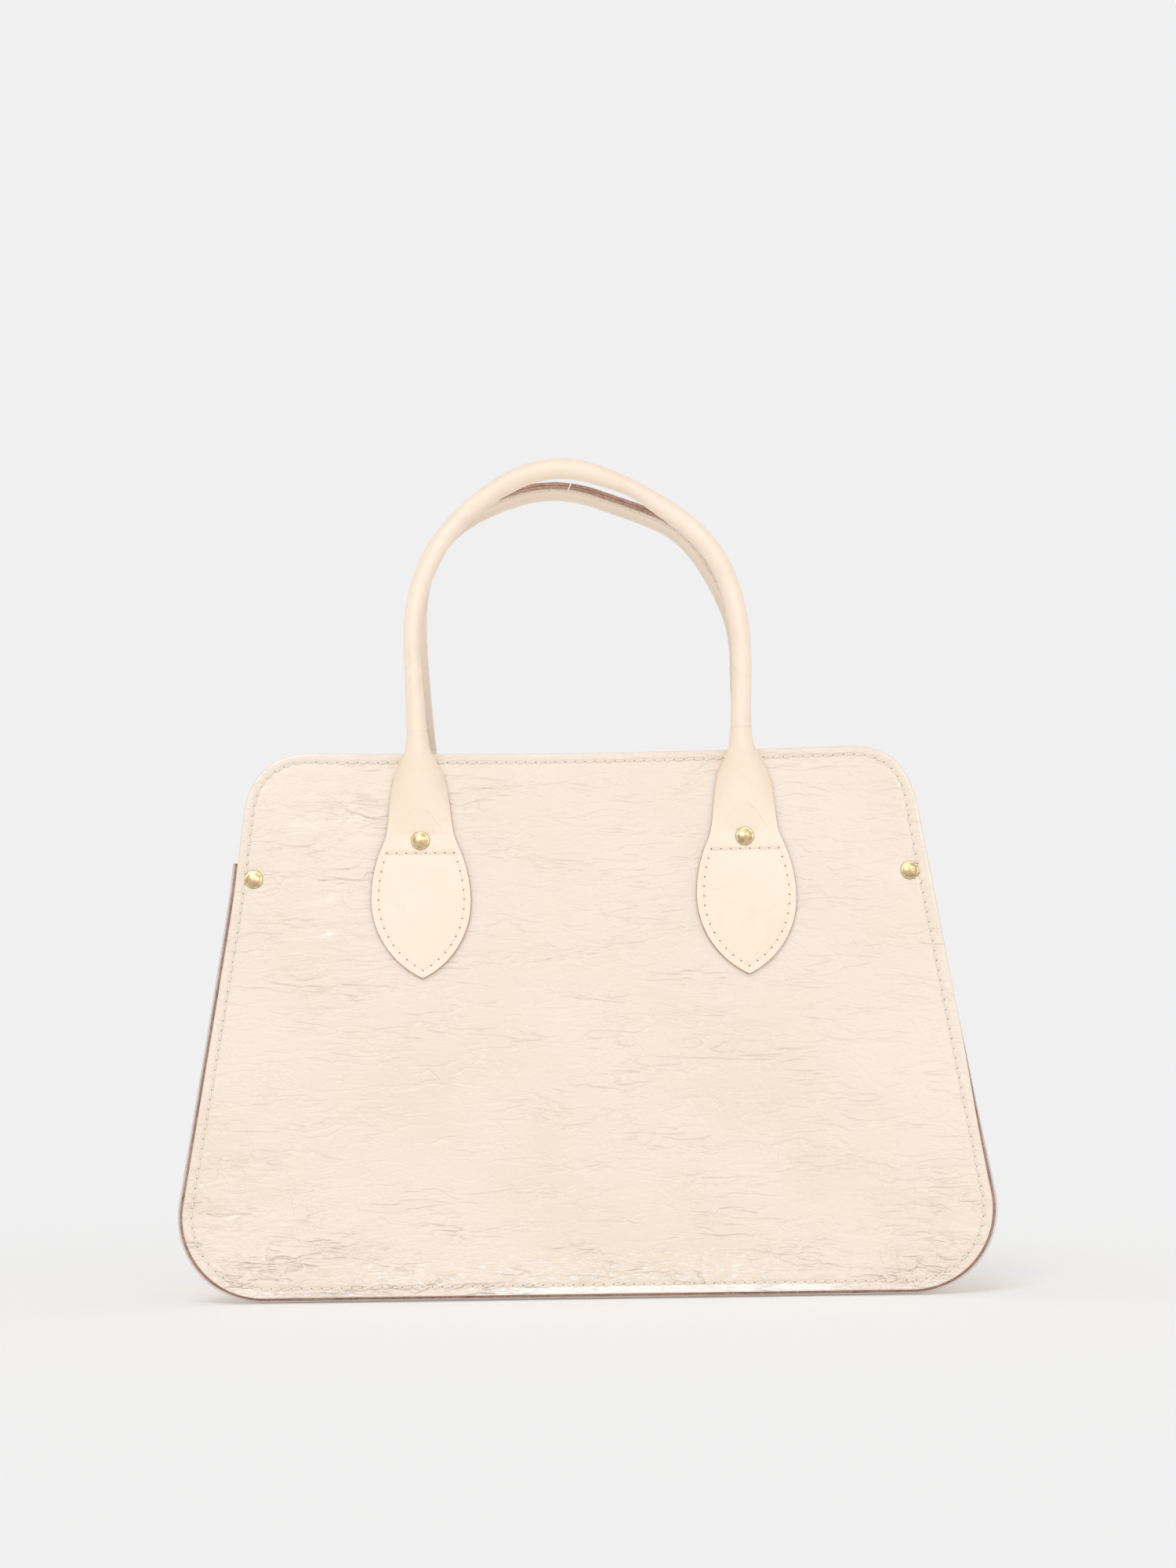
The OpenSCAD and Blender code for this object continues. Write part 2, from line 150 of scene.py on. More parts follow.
@dataclass(frozen=True)
class Pattern:
    """The cut of the bag, with the same driving sizes as its construction."""

    base_width: float = 360.0
    mouth_width: float = 281.0
    panel_height: float = 236.0
    base_corner_r: float = 35.0
    mouth_corner_r: float = 30.0
    base_depth: float = 120.0
    mouth_depth: float = 72.0
    panel_t: float = 1.8
    lining_t: float = 0.8
    gusset_t: float = 1.6
    seam_width: float = 7.5
    rivet_margin: float = 0.7
    flange_reach: float = 2.4
    fold_r: float = 1.5
    gusset_over_rivet: float = 7.5
    handle_span: float = 141.0
    cap_d: float = 8.0
    back_cap_d: float = 7.0
    shank_d: float = 3.0
    tab_rivet_drop: float = 39.0
    side_rivet_drop: float = 55.0
    side_rivet_inset: float = 7.8
    snap_drop: float = 24.0
    strip_t: float = 1.5
    stitch_inset: float = 4.0
    stitch_count: int = 240
    stitch_pitch: float = 4.3

    @property
    def mouth_s(self) -> float:
        """Height of the mouth edge up the slope."""
        return self.flange_reach + self.panel_height

    @property
    def lean(self) -> float:
        """Angle by which the panels lean inwards, in radians."""
        return math.asin((self.base_depth - self.mouth_depth) / 2 / self.mouth_s)

    @property
    def side_angle(self) -> float:
        """Angle of the side edges from upright, in radians."""
        return math.atan((self.base_width - self.mouth_width) / 2 / self.panel_height)

    @property
    def stack_t(self) -> float:
        """Thickness of panel and lining together."""
        return self.panel_t + self.lining_t

    @property
    def seam_t(self) -> float:
        """Thickness of panel, lining and gusset together."""
        return self.stack_t + self.gusset_t

    @property
    def base_centre(self) -> tuple[float, float]:
        """Centre of the lower right corner's arc."""
        r, a = self.base_corner_r, self.side_angle
        return self.base_width / 2 - r * (math.tan(a) + 1 / math.cos(a)), self.flange_reach + r

    @property
    def mouth_centre(self) -> tuple[float, float]:
        """Centre of the upper right corner's arc."""
        r, a = self.mouth_corner_r, self.side_angle
        return self.mouth_width / 2 + r * (math.tan(a) - 1 / math.cos(a)), self.mouth_s - r

    @property
    def gusset_end(self) -> float:
        """Height of the gusset's upper ends up the slope."""
        return self.mouth_s - self.side_rivet_drop + self.gusset_over_rivet

    def half_width(self, s: Array) -> Array:
        """Half of the panel's width at height s: half the mouth plus the drop times tan(side angle)."""
        return self.mouth_width / 2 + (self.mouth_s - s) * math.tan(self.side_angle)

    def side_rivet(self) -> tuple[float, float]:
        """(x, s) of the right side rivet."""
        s = self.mouth_s - self.side_rivet_drop
        return float(self.half_width(s)) - self.side_rivet_inset / math.cos(self.side_angle), s

    def from_side_rivet(self, x: Array, s: Array) -> Array:
        """Distance from a point to the nearer side rivet."""
        rx, rs = self.side_rivet()
        return np.hypot(np.abs(x) - rx, s - rs)

    def inset(self, x: Array, s: Array) -> Array:
        """Distance from a point inwards to the outline.

        It is the least distance to the side, bottom and mouth lines, and in a corner's sector the corner
        radius less the distance to the arc's centre.

        Args:
            x: Sideways place.
            s: Height up the slope.

        Returns:
            The distance, positive inside.
        """
        x = np.abs(x)
        a = self.side_angle
        edge = np.minimum(s - self.flange_reach, self.mouth_s - s)
        edge = np.minimum((self.half_width(s) - x) * math.cos(a), edge)
        for (cx, cs), r, low, high in (
            (self.base_centre, self.base_corner_r, -math.pi / 2, a),
            (self.mouth_centre, self.mouth_corner_r, a, math.pi / 2),
        ):
            turn = np.arctan2(s - cs, x - cx)
            edge = np.where((turn >= low) & (turn <= high), r - np.hypot(x - cx, s - cs), edge)
        return edge


CUT = Pattern()


class Outline:
    """The panel's outline as a path of arc centres, with a radius and an outward angle along it.

    A point on it is centre + radius * (cos angle, sin angle), where each of the three runs in a straight
    line from one knot to the next. It starts in the middle of the lower left corner and goes round by the
    bottom, the right side and the mouth.
    """

    def __init__(self, cut: Pattern) -> None:
        """Lays out the ten knots, each a centre, a radius and an angle."""
        (bx, bs), (mx, ms), a = cut.base_centre, cut.mouth_centre, cut.side_angle
        rb, rm = cut.base_corner_r, cut.mouth_corner_r
        half, full = math.pi / 2, math.pi
        low_middle = -full / 2 - (half + a) / 2
        self.knots = np.array([
            (-bx, bs, rb, low_middle), (-bx, bs, rb, -half), (bx, bs, rb, -half), (bx, bs, rb, a),
            (mx, ms, rm, a), (mx, ms, rm, half), (-mx, ms, rm, half), (-mx, ms, rm, full - a),
            (-bx, bs, rb, full - a), (-bx, bs, rb, low_middle + 2 * full),
        ])

    def marks(self, inset: float) -> Array:
        """Distances to the knots along the ring that runs this far inside the outline."""
        step = np.diff(self.knots, axis=0)
        arcs = np.abs(step[:, 3]) * (self.knots[:-1, 2] - inset)
        straight = np.linalg.norm(step[:, :2], axis=1)
        return np.append(0.0, np.cumsum(np.where(arcs > 1e-9, arcs, straight)))

    def places(self, along: Array, inset: float) -> tuple[Array, Array]:
        """Edge points and outward normals.

        Args:
            along: Distances along the ring of that inset.
            inset: How far inside the outline the distances are measured.

        Returns:
            The points on the outline and the outward normals there, each (n, 2).
        """
        marks = self.marks(inset)
        x, s, radius, turn = (np.interp(along % marks[-1], marks, column) for column in self.knots.T)
        normal = together(np.cos(turn), np.sin(turn))
        return together(x, s) + radius[..., None] * normal, normal

    def corners(self, inset: float) -> list[float]:
        """Distances along a ring of the middles of the four corners, and the whole length."""
        marks = self.marks(inset)
        return [0.0, *((marks[k] + marks[k + 1]) / 2 for k in (2, 4, 6)), marks[-1]]


OUTLINE = Outline(CUT)


@dataclass(frozen=True)
class Drape:
    """How the soft leather hangs: everything on the bag's body goes through it."""

    belly: float = 2.4
    rear_belly: float = 3.2
    mouth_sag: float = 1.3
    corner_fill: float = 1.6
    margin_stretch: float = 1.1
    foot_spread: float = 0.3
    wave: float = 0.3

    def out(self, x: Array, s: Array, side: Side) -> Array:
        """Distance by which the leather stands out from the panel's plane.

        A belly, (1 - (x/half width)^2) sin(pi (s/height)^0.8), plus slow waves that die out at the bottom.
        """
        f = np.clip(s / CUT.mouth_s, 0, 1)
        across = 1 - np.clip(np.abs(x) / CUT.half_width(s), 0, 1) ** 2.4
        belly = self.belly if side is Side.FRONT else self.rear_belly
        seed = 11 if side is Side.FRONT else 12
        slow = lattice_noise(x / 74 + 9.3, s / 58 + 4.1, seed) * self.wave * ease(s / 60)
        tab_hold = 1 - 0.7 * bump(np.abs(x), CUT.handle_span / 2, 24) * ease((s - 120) / 40)
        return belly * across * np.sin(math.pi * f**0.8) + slow * tab_hold

    def shift(self, x: Array, s: Array, side: Side) -> tuple[Array, Array]:
        """In-plane movement of the leather.

        The mouth edge sags between its corners, which are pushed outwards a little. In front the leaves are
        sewn on a little to the right, the upper left corner hangs slack, the upper right margin is stretched
        and the lower right corner spreads.
        """
        f = np.clip(s / CUT.mouth_s, 0, 1)
        drop = CUT.mouth_s - s
        sag = self.mouth_sag * (1 - np.clip(np.abs(x) / 132, 0, 1) ** 2) ** 2 * f**3
        corner = self.corner_fill * bump(np.abs(x), 132, 15) * bump(drop, 8, 15)
        aside = corner * np.sign(x)
        if side is Side.FRONT:
            left = bump(x, -CUT.handle_span / 2, 30) * (0.5 + 0.8 * ease((drop - 20) / 60))
            right = bump(x, CUT.handle_span / 2, 30) * ease((drop - 30) / 60)
            aside = aside + (left + right) * (1 - ease((drop - 110) / 40))
            edge = ease((x - CUT.half_width(s) + 4.5) / 4.5)
            margin = self.margin_stretch * edge * ease((s - 60) / 60) * ease((drop - 12) / 22)
            foot = ease((x - 100) / 60) * bump(s, 30, 45)
            slack = ease((-x - 95) / 35) * bump(drop, 28, 26)
            aside = aside + margin + self.foot_spread * foot - self.corner_fill * slack
        return aside, 0.8 * corner - sag


DRAPE = Drape()


def to_bag(x: Array, d: Array, s: Array, side: Side) -> Array:
    """Puts panel points into the bag's frame, in metres.

    y = -depth/2 + d cos(lean) + s sin(lean) and z = s cos(lean) - d sin(lean), with y mirrored at the rear.
    """
    a = CUT.lean
    y = -CUT.base_depth / 2 + d * math.cos(a) + s * math.sin(a)
    return together(x, side.sign * y, s * math.cos(a) - d * math.sin(a)) * MM


def hang(x: Array, d: Array, s: Array, side: Side) -> Array:
    """Drapes panel points and puts them into the bag's frame."""
    dx, ds = DRAPE.shift(x, s, side)
    return to_bag(x + dx, d - DRAPE.out(x, s, side), s + ds, side)


def face_normal(side: Side) -> Array:
    """Outward normal of a panel's plane."""
    return np.array([0.0, -side.sign * math.cos(CUT.lean), math.sin(CUT.lean)])


def link(name: str, data: bpy.types.ID) -> Piece:
    """Makes an object of its data and links it to the scene."""
    made = bpy.data.objects.new(name, data)
    bpy.context.scene.collection.objects.link(made)
    return made


@dataclass
class Draft:
    """Points, faces and corner maps of one piece, gathered part by part before it becomes a mesh."""

    maps: tuple[str, ...] = ()
    marks: tuple[str, ...] = MARKS
    points: list[Array] = field(default_factory=list)
    faces: list[Array] = field(default_factory=list)
    corner_maps: list[dict[str, Array]] = field(default_factory=list)
    mark_values: list[dict[str, Array]] = field(default_factory=list)
    size: int = 0

    def add_points(self, points: Array, **marks: Array) -> Array:
        """Adds points, in metres.

        Args:
            points: Points in a grid of any shape, (..., 3).
            **marks: A value for each point, by the name of its mark.

        Returns:
            The points' numbers, in the same grid.
        """
        shape = points.shape[:-1]
        count = int(np.prod(shape))
        self.points.append(points.reshape(-1, 3))
        self.mark_values.append(
            {m: np.broadcast_to(np.asarray(marks.get(m, 0.0), float), shape).reshape(-1) for m in self.marks}
        )
        ids = np.arange(self.size, self.size + count).reshape(shape)
        self.size += count
        return ids

    def add_faces(self, corners: Array, **maps: Array) -> None:
        """Adds faces of three or four corners, (n, 3 or 4), with map values of shape (n, 3 or 4, 2)."""
        self.faces.append(corners)
        self.corner_maps.append(maps)

    def add_grid(self, ids: Array, **maps: Array) -> None:
        """Adds the quads between the points of a grid.

        Args:
            ids: Point numbers, (..., rows, columns).
            **maps: Map values at the grid's points, (..., rows, columns, 2).
        """

        def corners(grid: Array, tail: tuple[int, ...]) -> Array:
            """The four corners of every cell, in order round it."""
            g = grid.reshape(-1, *grid.shape[len(grid.shape) - 2 - len(tail):])
            quads = np.stack([g[:, :-1, :-1], g[:, :-1, 1:], g[:, 1:, 1:], g[:, 1:, :-1]], 3)
            return quads.reshape(-1, 4, *tail)

        self.add_faces(corners(ids, ()), **{m: corners(v, (2,)) for m, v in maps.items()})

    def add_skin(self, ids: Array, **maps: Array) -> None:
        """Adds a strip's faces, all round it and across its two ends.

        Args:
            ids: Point numbers, (rows, columns), half of the columns on its face and half on its back.
            **maps: Map values, (rows, columns + 1, 2), the last column's being the first one's again.
        """
        self.add_grid(closed(ids), **maps)
        half = ids.shape[1] // 2
        for row, step in ((0, -1), (-1, 1)):
            self.add_grid(np.stack([ids[row, :half], ids[row, half:][::-1]])[::step])

    def add_rod(self, rings: Array, start: Array, end: Array) -> None:
        """Adds a round rod's faces: its rings of point numbers, closed with fans to a point at both ends."""
        self.add_grid(closed(rings))
        for ring, point in ((rings[0][::-1], start), (rings[-1], end)):
            pole = self.add_points(point[None])
            self.add_faces(together(ring, np.roll(ring, -1), pole))

    def build(self, name: str, smooth: bool = True) -> Piece:
        """Makes the mesh, with its faces turned outwards, and links its object.

        Args:
            name: Name of the piece.
            smooth: Whether its faces are shaded smooth.

        Returns:
            The new object, at the origin.
        """
        points = np.concatenate(self.points)
        volume = 0.0
        for faces in self.faces:
            a, *rest = (points[corners] for corners in faces.T)
            volume += sum(float((a * np.cross(b, c)).sum()) for b, c in zip(rest, rest[1:]))
        if volume < 0:
            self.faces = [f[:, ::-1] for f in self.faces]
            self.corner_maps = [{m: v[:, ::-1] for m, v in maps.items()} for maps in self.corner_maps]
        mesh = bpy.data.meshes.new(name)
        sizes = np.concatenate([np.full(len(f), f.shape[1]) for f in self.faces])
        mesh.vertices.add(len(points))
        mesh.vertices.foreach_set("co", points.astype(np.float32).ravel())
        mesh.loops.add(int(sizes.sum()))
        corners = np.concatenate([f.ravel() for f in self.faces])
        mesh.loops.foreach_set("vertex_index", corners.astype(np.int32))
        mesh.polygons.add(len(sizes))
        starts = np.concatenate([[0], np.cumsum(sizes)[:-1]])
        mesh.polygons.foreach_set("loop_start", starts.astype(np.int32))
        mesh.polygons.foreach_set("use_smooth", np.full(len(sizes), smooth))
        mesh.update(calc_edges=True)
        for m in self.maps:
            values = [
                maps.get(m, np.full((*f.shape, 2), FAR)).reshape(-1, 2)
                for f, maps in zip(self.faces, self.corner_maps)
            ]
            layer = mesh.uv_layers.new(name=m).data
            layer.foreach_set("uv", np.concatenate(values).astype(np.float32).ravel())
        for m in self.marks:
            values = np.concatenate([v[m] for v in self.mark_values])
            mesh.attributes.new(m, "FLOAT", "POINT").data.foreach_set("value", values.astype(np.float32))
        mesh.validate()
        return link(name, mesh)


def srgb(red: float, green: float, blue: float) -> tuple[float, float, float, float]:
    """A colour written as on a screen, 0 to 255, as the linear colour that a socket holds."""
    linear = [c / 255 / 12.92 if c <= 10 else ((c / 255 + 0.055) / 1.055) ** 2.4 for c in (red, green, blue)]
    return (*linear, 1.0)


class Sheet:
    """A node tree with short ways to draw on it."""

    def __init__(self, tree: Tree) -> None:
        """Takes the tree to draw on."""
        self.tree = tree

    def feed(self, node: Node, inputs: dict) -> None:
        """Links sockets to a node's inputs or sets their values, by the input's name or number."""
        for key, value in inputs.items():
            if isinstance(value, Socket):
                self.tree.links.new(value, node.inputs[key])
            else:
                node.inputs[key].default_value = value

    def put(self, kind: str, inputs: dict | None = None, **settings: object) -> Node:
        """Adds a node.

        Args:
            kind: Its type, without the ShaderNode prefix.
            inputs: Sockets to link or values to set, by the input's name or number.
            **settings: Its own properties.

        Returns:
            The node.
        """
        node = self.tree.nodes.new("ShaderNode" + kind)
        for key, value in settings.items():
            setattr(node, key, value)
        self.feed(node, inputs or {})
        return node

    def group(self, tree: Tree, **inputs: Socket | float | tuple) -> bpy.types.NodeOutputs:
        """The outputs of a shared group that is given its own values."""
        return self.put("Group", inputs, node_tree=tree).outputs

    def math(
        self, operation: str, a: Socket | float, b: Socket | float = 0.0, c: Socket | float = 0.0
    ) -> Socket:
        """The result of a Math node."""
        return self.put("Math", {0: a, 1: b, 2: c}, operation=operation).outputs[0]

    def times(self, a: Socket | float, b: Socket | float, more: Socket | float = 0.0) -> Socket:
        """The product of two values, with more added to it."""
        return self.math("MULTIPLY_ADD", a, b, more)

    def inverse(self, value: Socket) -> Socket:
        """1 less a value."""
        return self.math("SUBTRACT", 1.0, value)

    def ramp(self, value: Socket, low: float, high: float, start: float = 0.0, end: float = 1.0) -> Socket:
        """A smooth step of a value from start at low to end at high."""
        inputs = {"Value": value, "From Min": low, "From Max": high, "To Min": start, "To Max": end}
        return self.put("MapRange", inputs, interpolation_type="SMOOTHSTEP").outputs["Result"]

    def mix(self, share: Socket, a: Socket | tuple, b: Socket | tuple) -> Socket:
        """Two colours mixed by a share. A Mix node keeps its colours in inputs 6 and 7 and in output 2."""
        return self.put("Mix", {0: share, 6: a, 7: b}, data_type="RGBA").outputs[2]

    def scaled(self, vector: Socket, scale: tuple, move: tuple = (0.0, 0.0, 0.0)) -> Socket:
        """A vector scaled and moved by a Mapping node."""
        return self.put("Mapping", {"Vector": vector, "Scale": scale, "Location": move}).outputs["Vector"]

    def noise(self, vector: Socket, scale: float, detail: float = 2.0, rough: float = 0.5) -> Socket:
        """The value of a Noise Texture."""
        inputs = {"Vector": vector, "Scale": scale, "Detail": detail, "Roughness": rough}
        return self.put("TexNoise", inputs, noise_dimensions="3D").outputs[0]


def effect(
    name: str, inputs: dict[str, str], outputs: dict[str, str]
) -> tuple[Sheet, bpy.types.NodeOutputs, Node]:
    """Starts a node group for a shared effect.

    Args:
        name: Name of the group.
        inputs: Socket type of each input, by name.
        outputs: Socket type of each output, by name.

    Returns:
        The sheet to draw it on, its input sockets and its output node.
    """
    tree = bpy.data.node_groups.new(name, "ShaderNodeTree")
    for way, sockets in (("INPUT", inputs), ("OUTPUT", outputs)):
        for label, kind in sockets.items():
            tree.interface.new_socket(name=label, in_out=way, socket_type="NodeSocket" + kind)
    return Sheet(tree), tree.nodes.new("NodeGroupInput").outputs, tree.nodes.new("NodeGroupOutput")


def crease_lines() -> Tree:
    """Group: fine valleys of creased leather, where a warped noise crosses its middle value."""
    sheet, given, result = effect(
        "crease_lines", {"Vector": "Vector", "Width": "Float"}, {"Height": "Float", "Ridges": "Float"}
    )
    bend = sheet.put("TexNoise", {"Vector": given["Vector"], "Scale": 0.7, "Detail": 2.0}).outputs[1]
    away = sheet.put("VectorMath", {0: bend, 1: (0.5, 0.5, 0.5)}, operation="SUBTRACT").outputs[0]
    inputs = {0: away, 1: (0.9, 0.9, 0.9), 2: given["Vector"]}
    warped = sheet.put("VectorMath", inputs, operation="MULTIPLY_ADD").outputs[0]
    value = sheet.noise(warped, 1.0, 2.0, 0.5)
    apart = sheet.math("ABSOLUTE", sheet.math("SUBTRACT", value, 0.5))
    share = sheet.math("DIVIDE", apart, given["Width"])
    patches = sheet.ramp(sheet.noise(given["Vector"], 0.45, 1.0), 0.4, 0.62)
    depth = sheet.times(sheet.inverse(sheet.ramp(share, 0.0, 1.0)), patches)
    ridges = sheet.math("ABSOLUTE", sheet.math("SUBTRACT", sheet.noise(warped, 1.5, 2.0, 0.55), 0.5))
    ridges = sheet.math("SMOOTH_MIN", ridges, 0.16, 0.05)
    sheet.feed(result, {"Height": sheet.inverse(depth), "Ridges": ridges})
    return sheet.tree


def pore_grain() -> Tree:
    """Group: the pores of the grain side, low cell edges of a Voronoi pattern broken up by noise."""
    sheet, given, result = effect("pore_grain", {"Vector": "Vector", "Scale": "Float"}, {"Height": "Float"})
    inputs = {"Vector": given["Vector"], "Scale": given["Scale"]}
    fine = sheet.put("TexNoise", {**inputs, "Detail": 4.0}).outputs[0]
    inputs["Randomness"] = 1.0
    cells = sheet.put("TexVoronoi", inputs, feature="DISTANCE_TO_EDGE").outputs["Distance"]
    sheet.feed(result, {"Height": sheet.times(fine, 0.8, sheet.ramp(cells, 0.0, 0.28))})
    return sheet.tree


def needle_row() -> Tree:
    """Group: needle holes and the pucker round them, on a map that counts stitches along a row.

    The map's first value is the number of stitches from the row's start and its second the distance from
    the row in millimetres, so a hole is where hypot(fraction * pitch, distance) is less than its radius.
    """
    sheet, given, result = effect(
        "needle_row",
        {"Row": "Vector", "Pitch": "Float", "Radius": "Float"},
        {"Hole": "Float", "Pucker": "Float", "Band": "Float"},
    )
    parts = sheet.put("SeparateXYZ", {0: given["Row"]})
    turn = sheet.math("FRACT", sheet.math("ADD", parts.outputs[0], 0.5))
    along = sheet.times(sheet.math("SUBTRACT", turn, 0.5), given["Pitch"])
    square = sheet.times(along, along)
    reach = sheet.math("SQRT", sheet.times(parts.outputs[1], parts.outputs[1], square))
    hole = sheet.inverse(sheet.ramp(sheet.math("DIVIDE", reach, given["Radius"]), 0.55, 1.15))
    band = sheet.ramp(sheet.math("ABSOLUTE", parts.outputs[1]), 0.25, 1.1, 1.0, 0.0)
    sheet.feed(result, {"Hole": hole, "Pucker": sheet.ramp(reach, 0.0, 1.9), "Band": band})
    return sheet.tree


def cut_fibres() -> Tree:
    """Group: the brown, fibrous look of a cut edge or a flesh side."""
    sheet, given, result = effect(
        "cut_fibres",
        {"Vector": "Vector", "Light": "Color", "Dark": "Color"},
        {"Color": "Color", "Height": "Float"},
    )
    streaks = sheet.noise(given["Vector"], 900.0, 4.0, 0.7)
    broad = sheet.ramp(sheet.noise(given["Vector"], 90.0, 2.0), 0.35, 0.65, 0.0, 0.35)
    share = sheet.math("ADD", sheet.ramp(streaks, 0.35, 0.65, 0.0, 0.65), broad)
    sheet.feed(result, {"Color": sheet.mix(share, given["Dark"], given["Light"]), "Height": streaks})
    return sheet.tree


@dataclass(frozen=True)
class Effects:
    """The shared node groups."""

    creases: Tree
    pores: Tree
    needle_row: Tree
    fibres: Tree

    @classmethod
    def make(cls) -> "Effects":
        """Builds each group once."""
        return cls(crease_lines(), pore_grain(), needle_row(), cut_fibres())


class Skin(Sheet):
    """A new material with a lone Principled BSDF, and the sheet to draw it on."""

    def __init__(self, name: str) -> None:
        """Makes the material."""
        self.material = bpy.data.materials.new(name)
        self.material.use_nodes = True
        super().__init__(self.material.node_tree)
        self.shader = next(n for n in self.tree.nodes if n.type == "BSDF_PRINCIPLED")

    def surface(
        self, colour: Socket, rough: Socket, height: Socket, depth: float, strength: float = 1.0,
        **more: object,
    ) -> Material:
        """Feeds the shader.

        Args:
            colour: Its colour.
            rough: Its roughness.
            height: Height of its relief.
            depth: Depth in millimetres of a height of 1.
            strength: Share of the relief that shows.
            **more: Its other inputs, by name.

        Returns:
            The finished material.
        """
        relief = {"Height": height, "Strength": strength, "Distance": depth * MM}
        normal = self.put("Bump", relief).outputs[0]
        self.feed(self.shader, {"Base Color": colour, "Roughness": rough, "Normal": normal, **more})
        return self.material


@dataclass(frozen=True)
class LeatherFinish:
    """Grain leather: its colours, with a painted shade in the crease valleys and a painted highlight along
    the bottom, its gloss, creases, and its rows of needle holes by map and pitch.
    """

    name: str
    light: tuple
    deep: tuple
    roughness: float
    coat: float
    coat_roughness: float
    crease_depth: float
    ripple_depth: float
    pore_depth: float
    crease_scale: tuple[float, float, float]
    seams: tuple[tuple[str, float], ...]
    cut_light: tuple = srgb(206, 168, 147)
    cut_dark: tuple = srgb(158, 122, 104)
    hole: tuple = srgb(132, 96, 72)
    hole_radius: float = 0.4
    edge: tuple = srgb(222, 217, 213)
    # Near-white painted highlight for the glare and glints along the bottom, and the scale of its glint
    # streaks.
    painted_highlight: tuple = srgb(254, 250, 245)
    glint_scale: tuple = (230.0, 1400.0, 1.0)
    # Colour of the painted shade in the crease valleys.
    valley: tuple = srgb(238, 217, 196)

    def build(self, effects: Effects) -> Material:
        """Draws the material.

        Args:
            effects: The shared node groups.

        Returns:
            The material, which reads the maps cut and the seams', and the marks raw, creasing and the
            painted-highlight mark.
        """
        skin = Skin(self.name)
        flat = skin.put("UVMap", uv_map="cut").outputs[0]
        raw, creasing, worn = (skin.put("Attribute", attribute_name=m).outputs["Fac"] for m in MARKS)
        where = skin.put("TexCoord").outputs["Object"]

        close = self.crease_scale[1]
        long_way = skin.scaled(flat, self.crease_scale)
        other_way = skin.scaled(flat, (close * 0.62, close * 0.7, 1.0), (3.7, 1.9, 0.0))
        fine_way = skin.scaled(flat, tuple(2.6 * c for c in self.crease_scale), (8.1, 5.2, 0.0))
        long_creases = skin.group(effects.creases, Vector=long_way, Width=0.07)
        lines = long_creases["Height"]
        crackle = skin.group(effects.creases, Vector=other_way, Width=0.06)["Height"]
        threads = skin.group(effects.creases, Vector=fine_way, Width=0.1)["Height"]
        pores = skin.group(effects.pores, Vector=flat, Scale=1500.0)["Height"]

        strength = skin.times(creasing, 0.82, 0.18)
        creases = skin.times(threads, 0.3, lines)
        creases = skin.times(crackle, 0.4, creases)
        height = skin.times(skin.times(creases, strength), self.crease_depth)
        much = skin.times(skin.math("POWER", creasing, 1.4), self.ripple_depth)
        height = skin.times(long_creases["Ridges"], much, height)
        height = skin.times(pores, self.pore_depth, height)

        hole = 0.0
        for name, pitch in self.seams:
            row = skin.put("UVMap", uv_map=name).outputs[0]
            made = skin.group(effects.needle_row, Row=row, Pitch=pitch, Radius=self.hole_radius)
            height = skin.times(made["Pucker"], 0.17, height)
            height = skin.times(made["Band"], -0.06, height)
            hole = skin.math("MAXIMUM", hole, made["Hole"])

        colour = skin.mix(skin.ramp(skin.noise(flat, 15.0, 2.0), 0.35, 0.65), self.deep, self.light)
        # Painted shade: the crease valleys are darkened towards the valley colour, by how creased the leather
        # is.
        crease_shade = skin.times(skin.inverse(lines), strength)
        # Painted highlight: the bottom margin, and noise streaks in a stretch above it, are lightened towards
        # near-white to stand in for glare and glints on the creases.
        streaks = skin.noise(skin.scaled(flat, self.glint_scale), 1.0, 3.0, 0.6)
        painted_highlight = skin.ramp(skin.times(worn, 0.4, streaks), 0.66, 0.74)
        brown = skin.ramp(raw, 0.35, 0.65)
        fibres = skin.group(effects.fibres, Vector=where, Light=self.cut_light, Dark=self.cut_dark)
        for share, tint in (
            (skin.times(crease_shade, 0.3), self.valley),
            (skin.times(painted_highlight, skin.ramp(worn, 0.02, 0.2)), self.painted_highlight),
            (skin.times(skin.ramp(raw, 0.08, 0.3), skin.ramp(raw, 0.35, 0.5, 1.0, 0.0)), self.edge),
            (brown, fibres["Color"]),
            (hole, self.hole),
        ):
            colour = skin.mix(share, colour, tint)
        height = skin.times(skin.times(fibres["Height"], brown), 0.2, height)

        rough = skin.times(skin.noise(flat, 160.0, 3.0), 0.12, self.roughness - 0.06)
        rough = skin.math("MAXIMUM", rough, skin.times(brown, 0.85))
        coat = skin.times(skin.inverse(brown), self.coat)
        more = {"Coat Weight": coat, "Coat Roughness": self.coat_roughness, "IOR": 1.5}
        return skin.surface(colour, rough, height, 1.0, **more)


@dataclass(frozen=True)
class NappedFinish:
    """Suede, board or cotton: a matt fibrous surface."""

    name: str
    light: tuple
    dark: tuple
    scale: float
    depth: float
    sheen: float = 0.0

    def build(self, effects: Effects) -> Material:
        """Draws the material on Object coordinates."""
        skin = Skin(self.name)
        where = skin.put("TexCoord").outputs["Object"]
        nap = skin.noise(where, self.scale, 5.0, 0.65)
        patches = skin.ramp(skin.noise(where, self.scale / 24, 3.0), 0.3, 0.7, 0.0, 0.4)
        share = skin.math("ADD", skin.ramp(nap, 0.3, 0.7, 0.0, 0.6), patches)
        colour, rough = skin.mix(share, self.dark, self.light), skin.ramp(nap, 0.2, 0.8, 0.95, 0.8)
        more = {"Sheen Weight": self.sheen, "Specular IOR Level": 0.25}
        return skin.surface(colour, rough, nap, self.depth, **more)


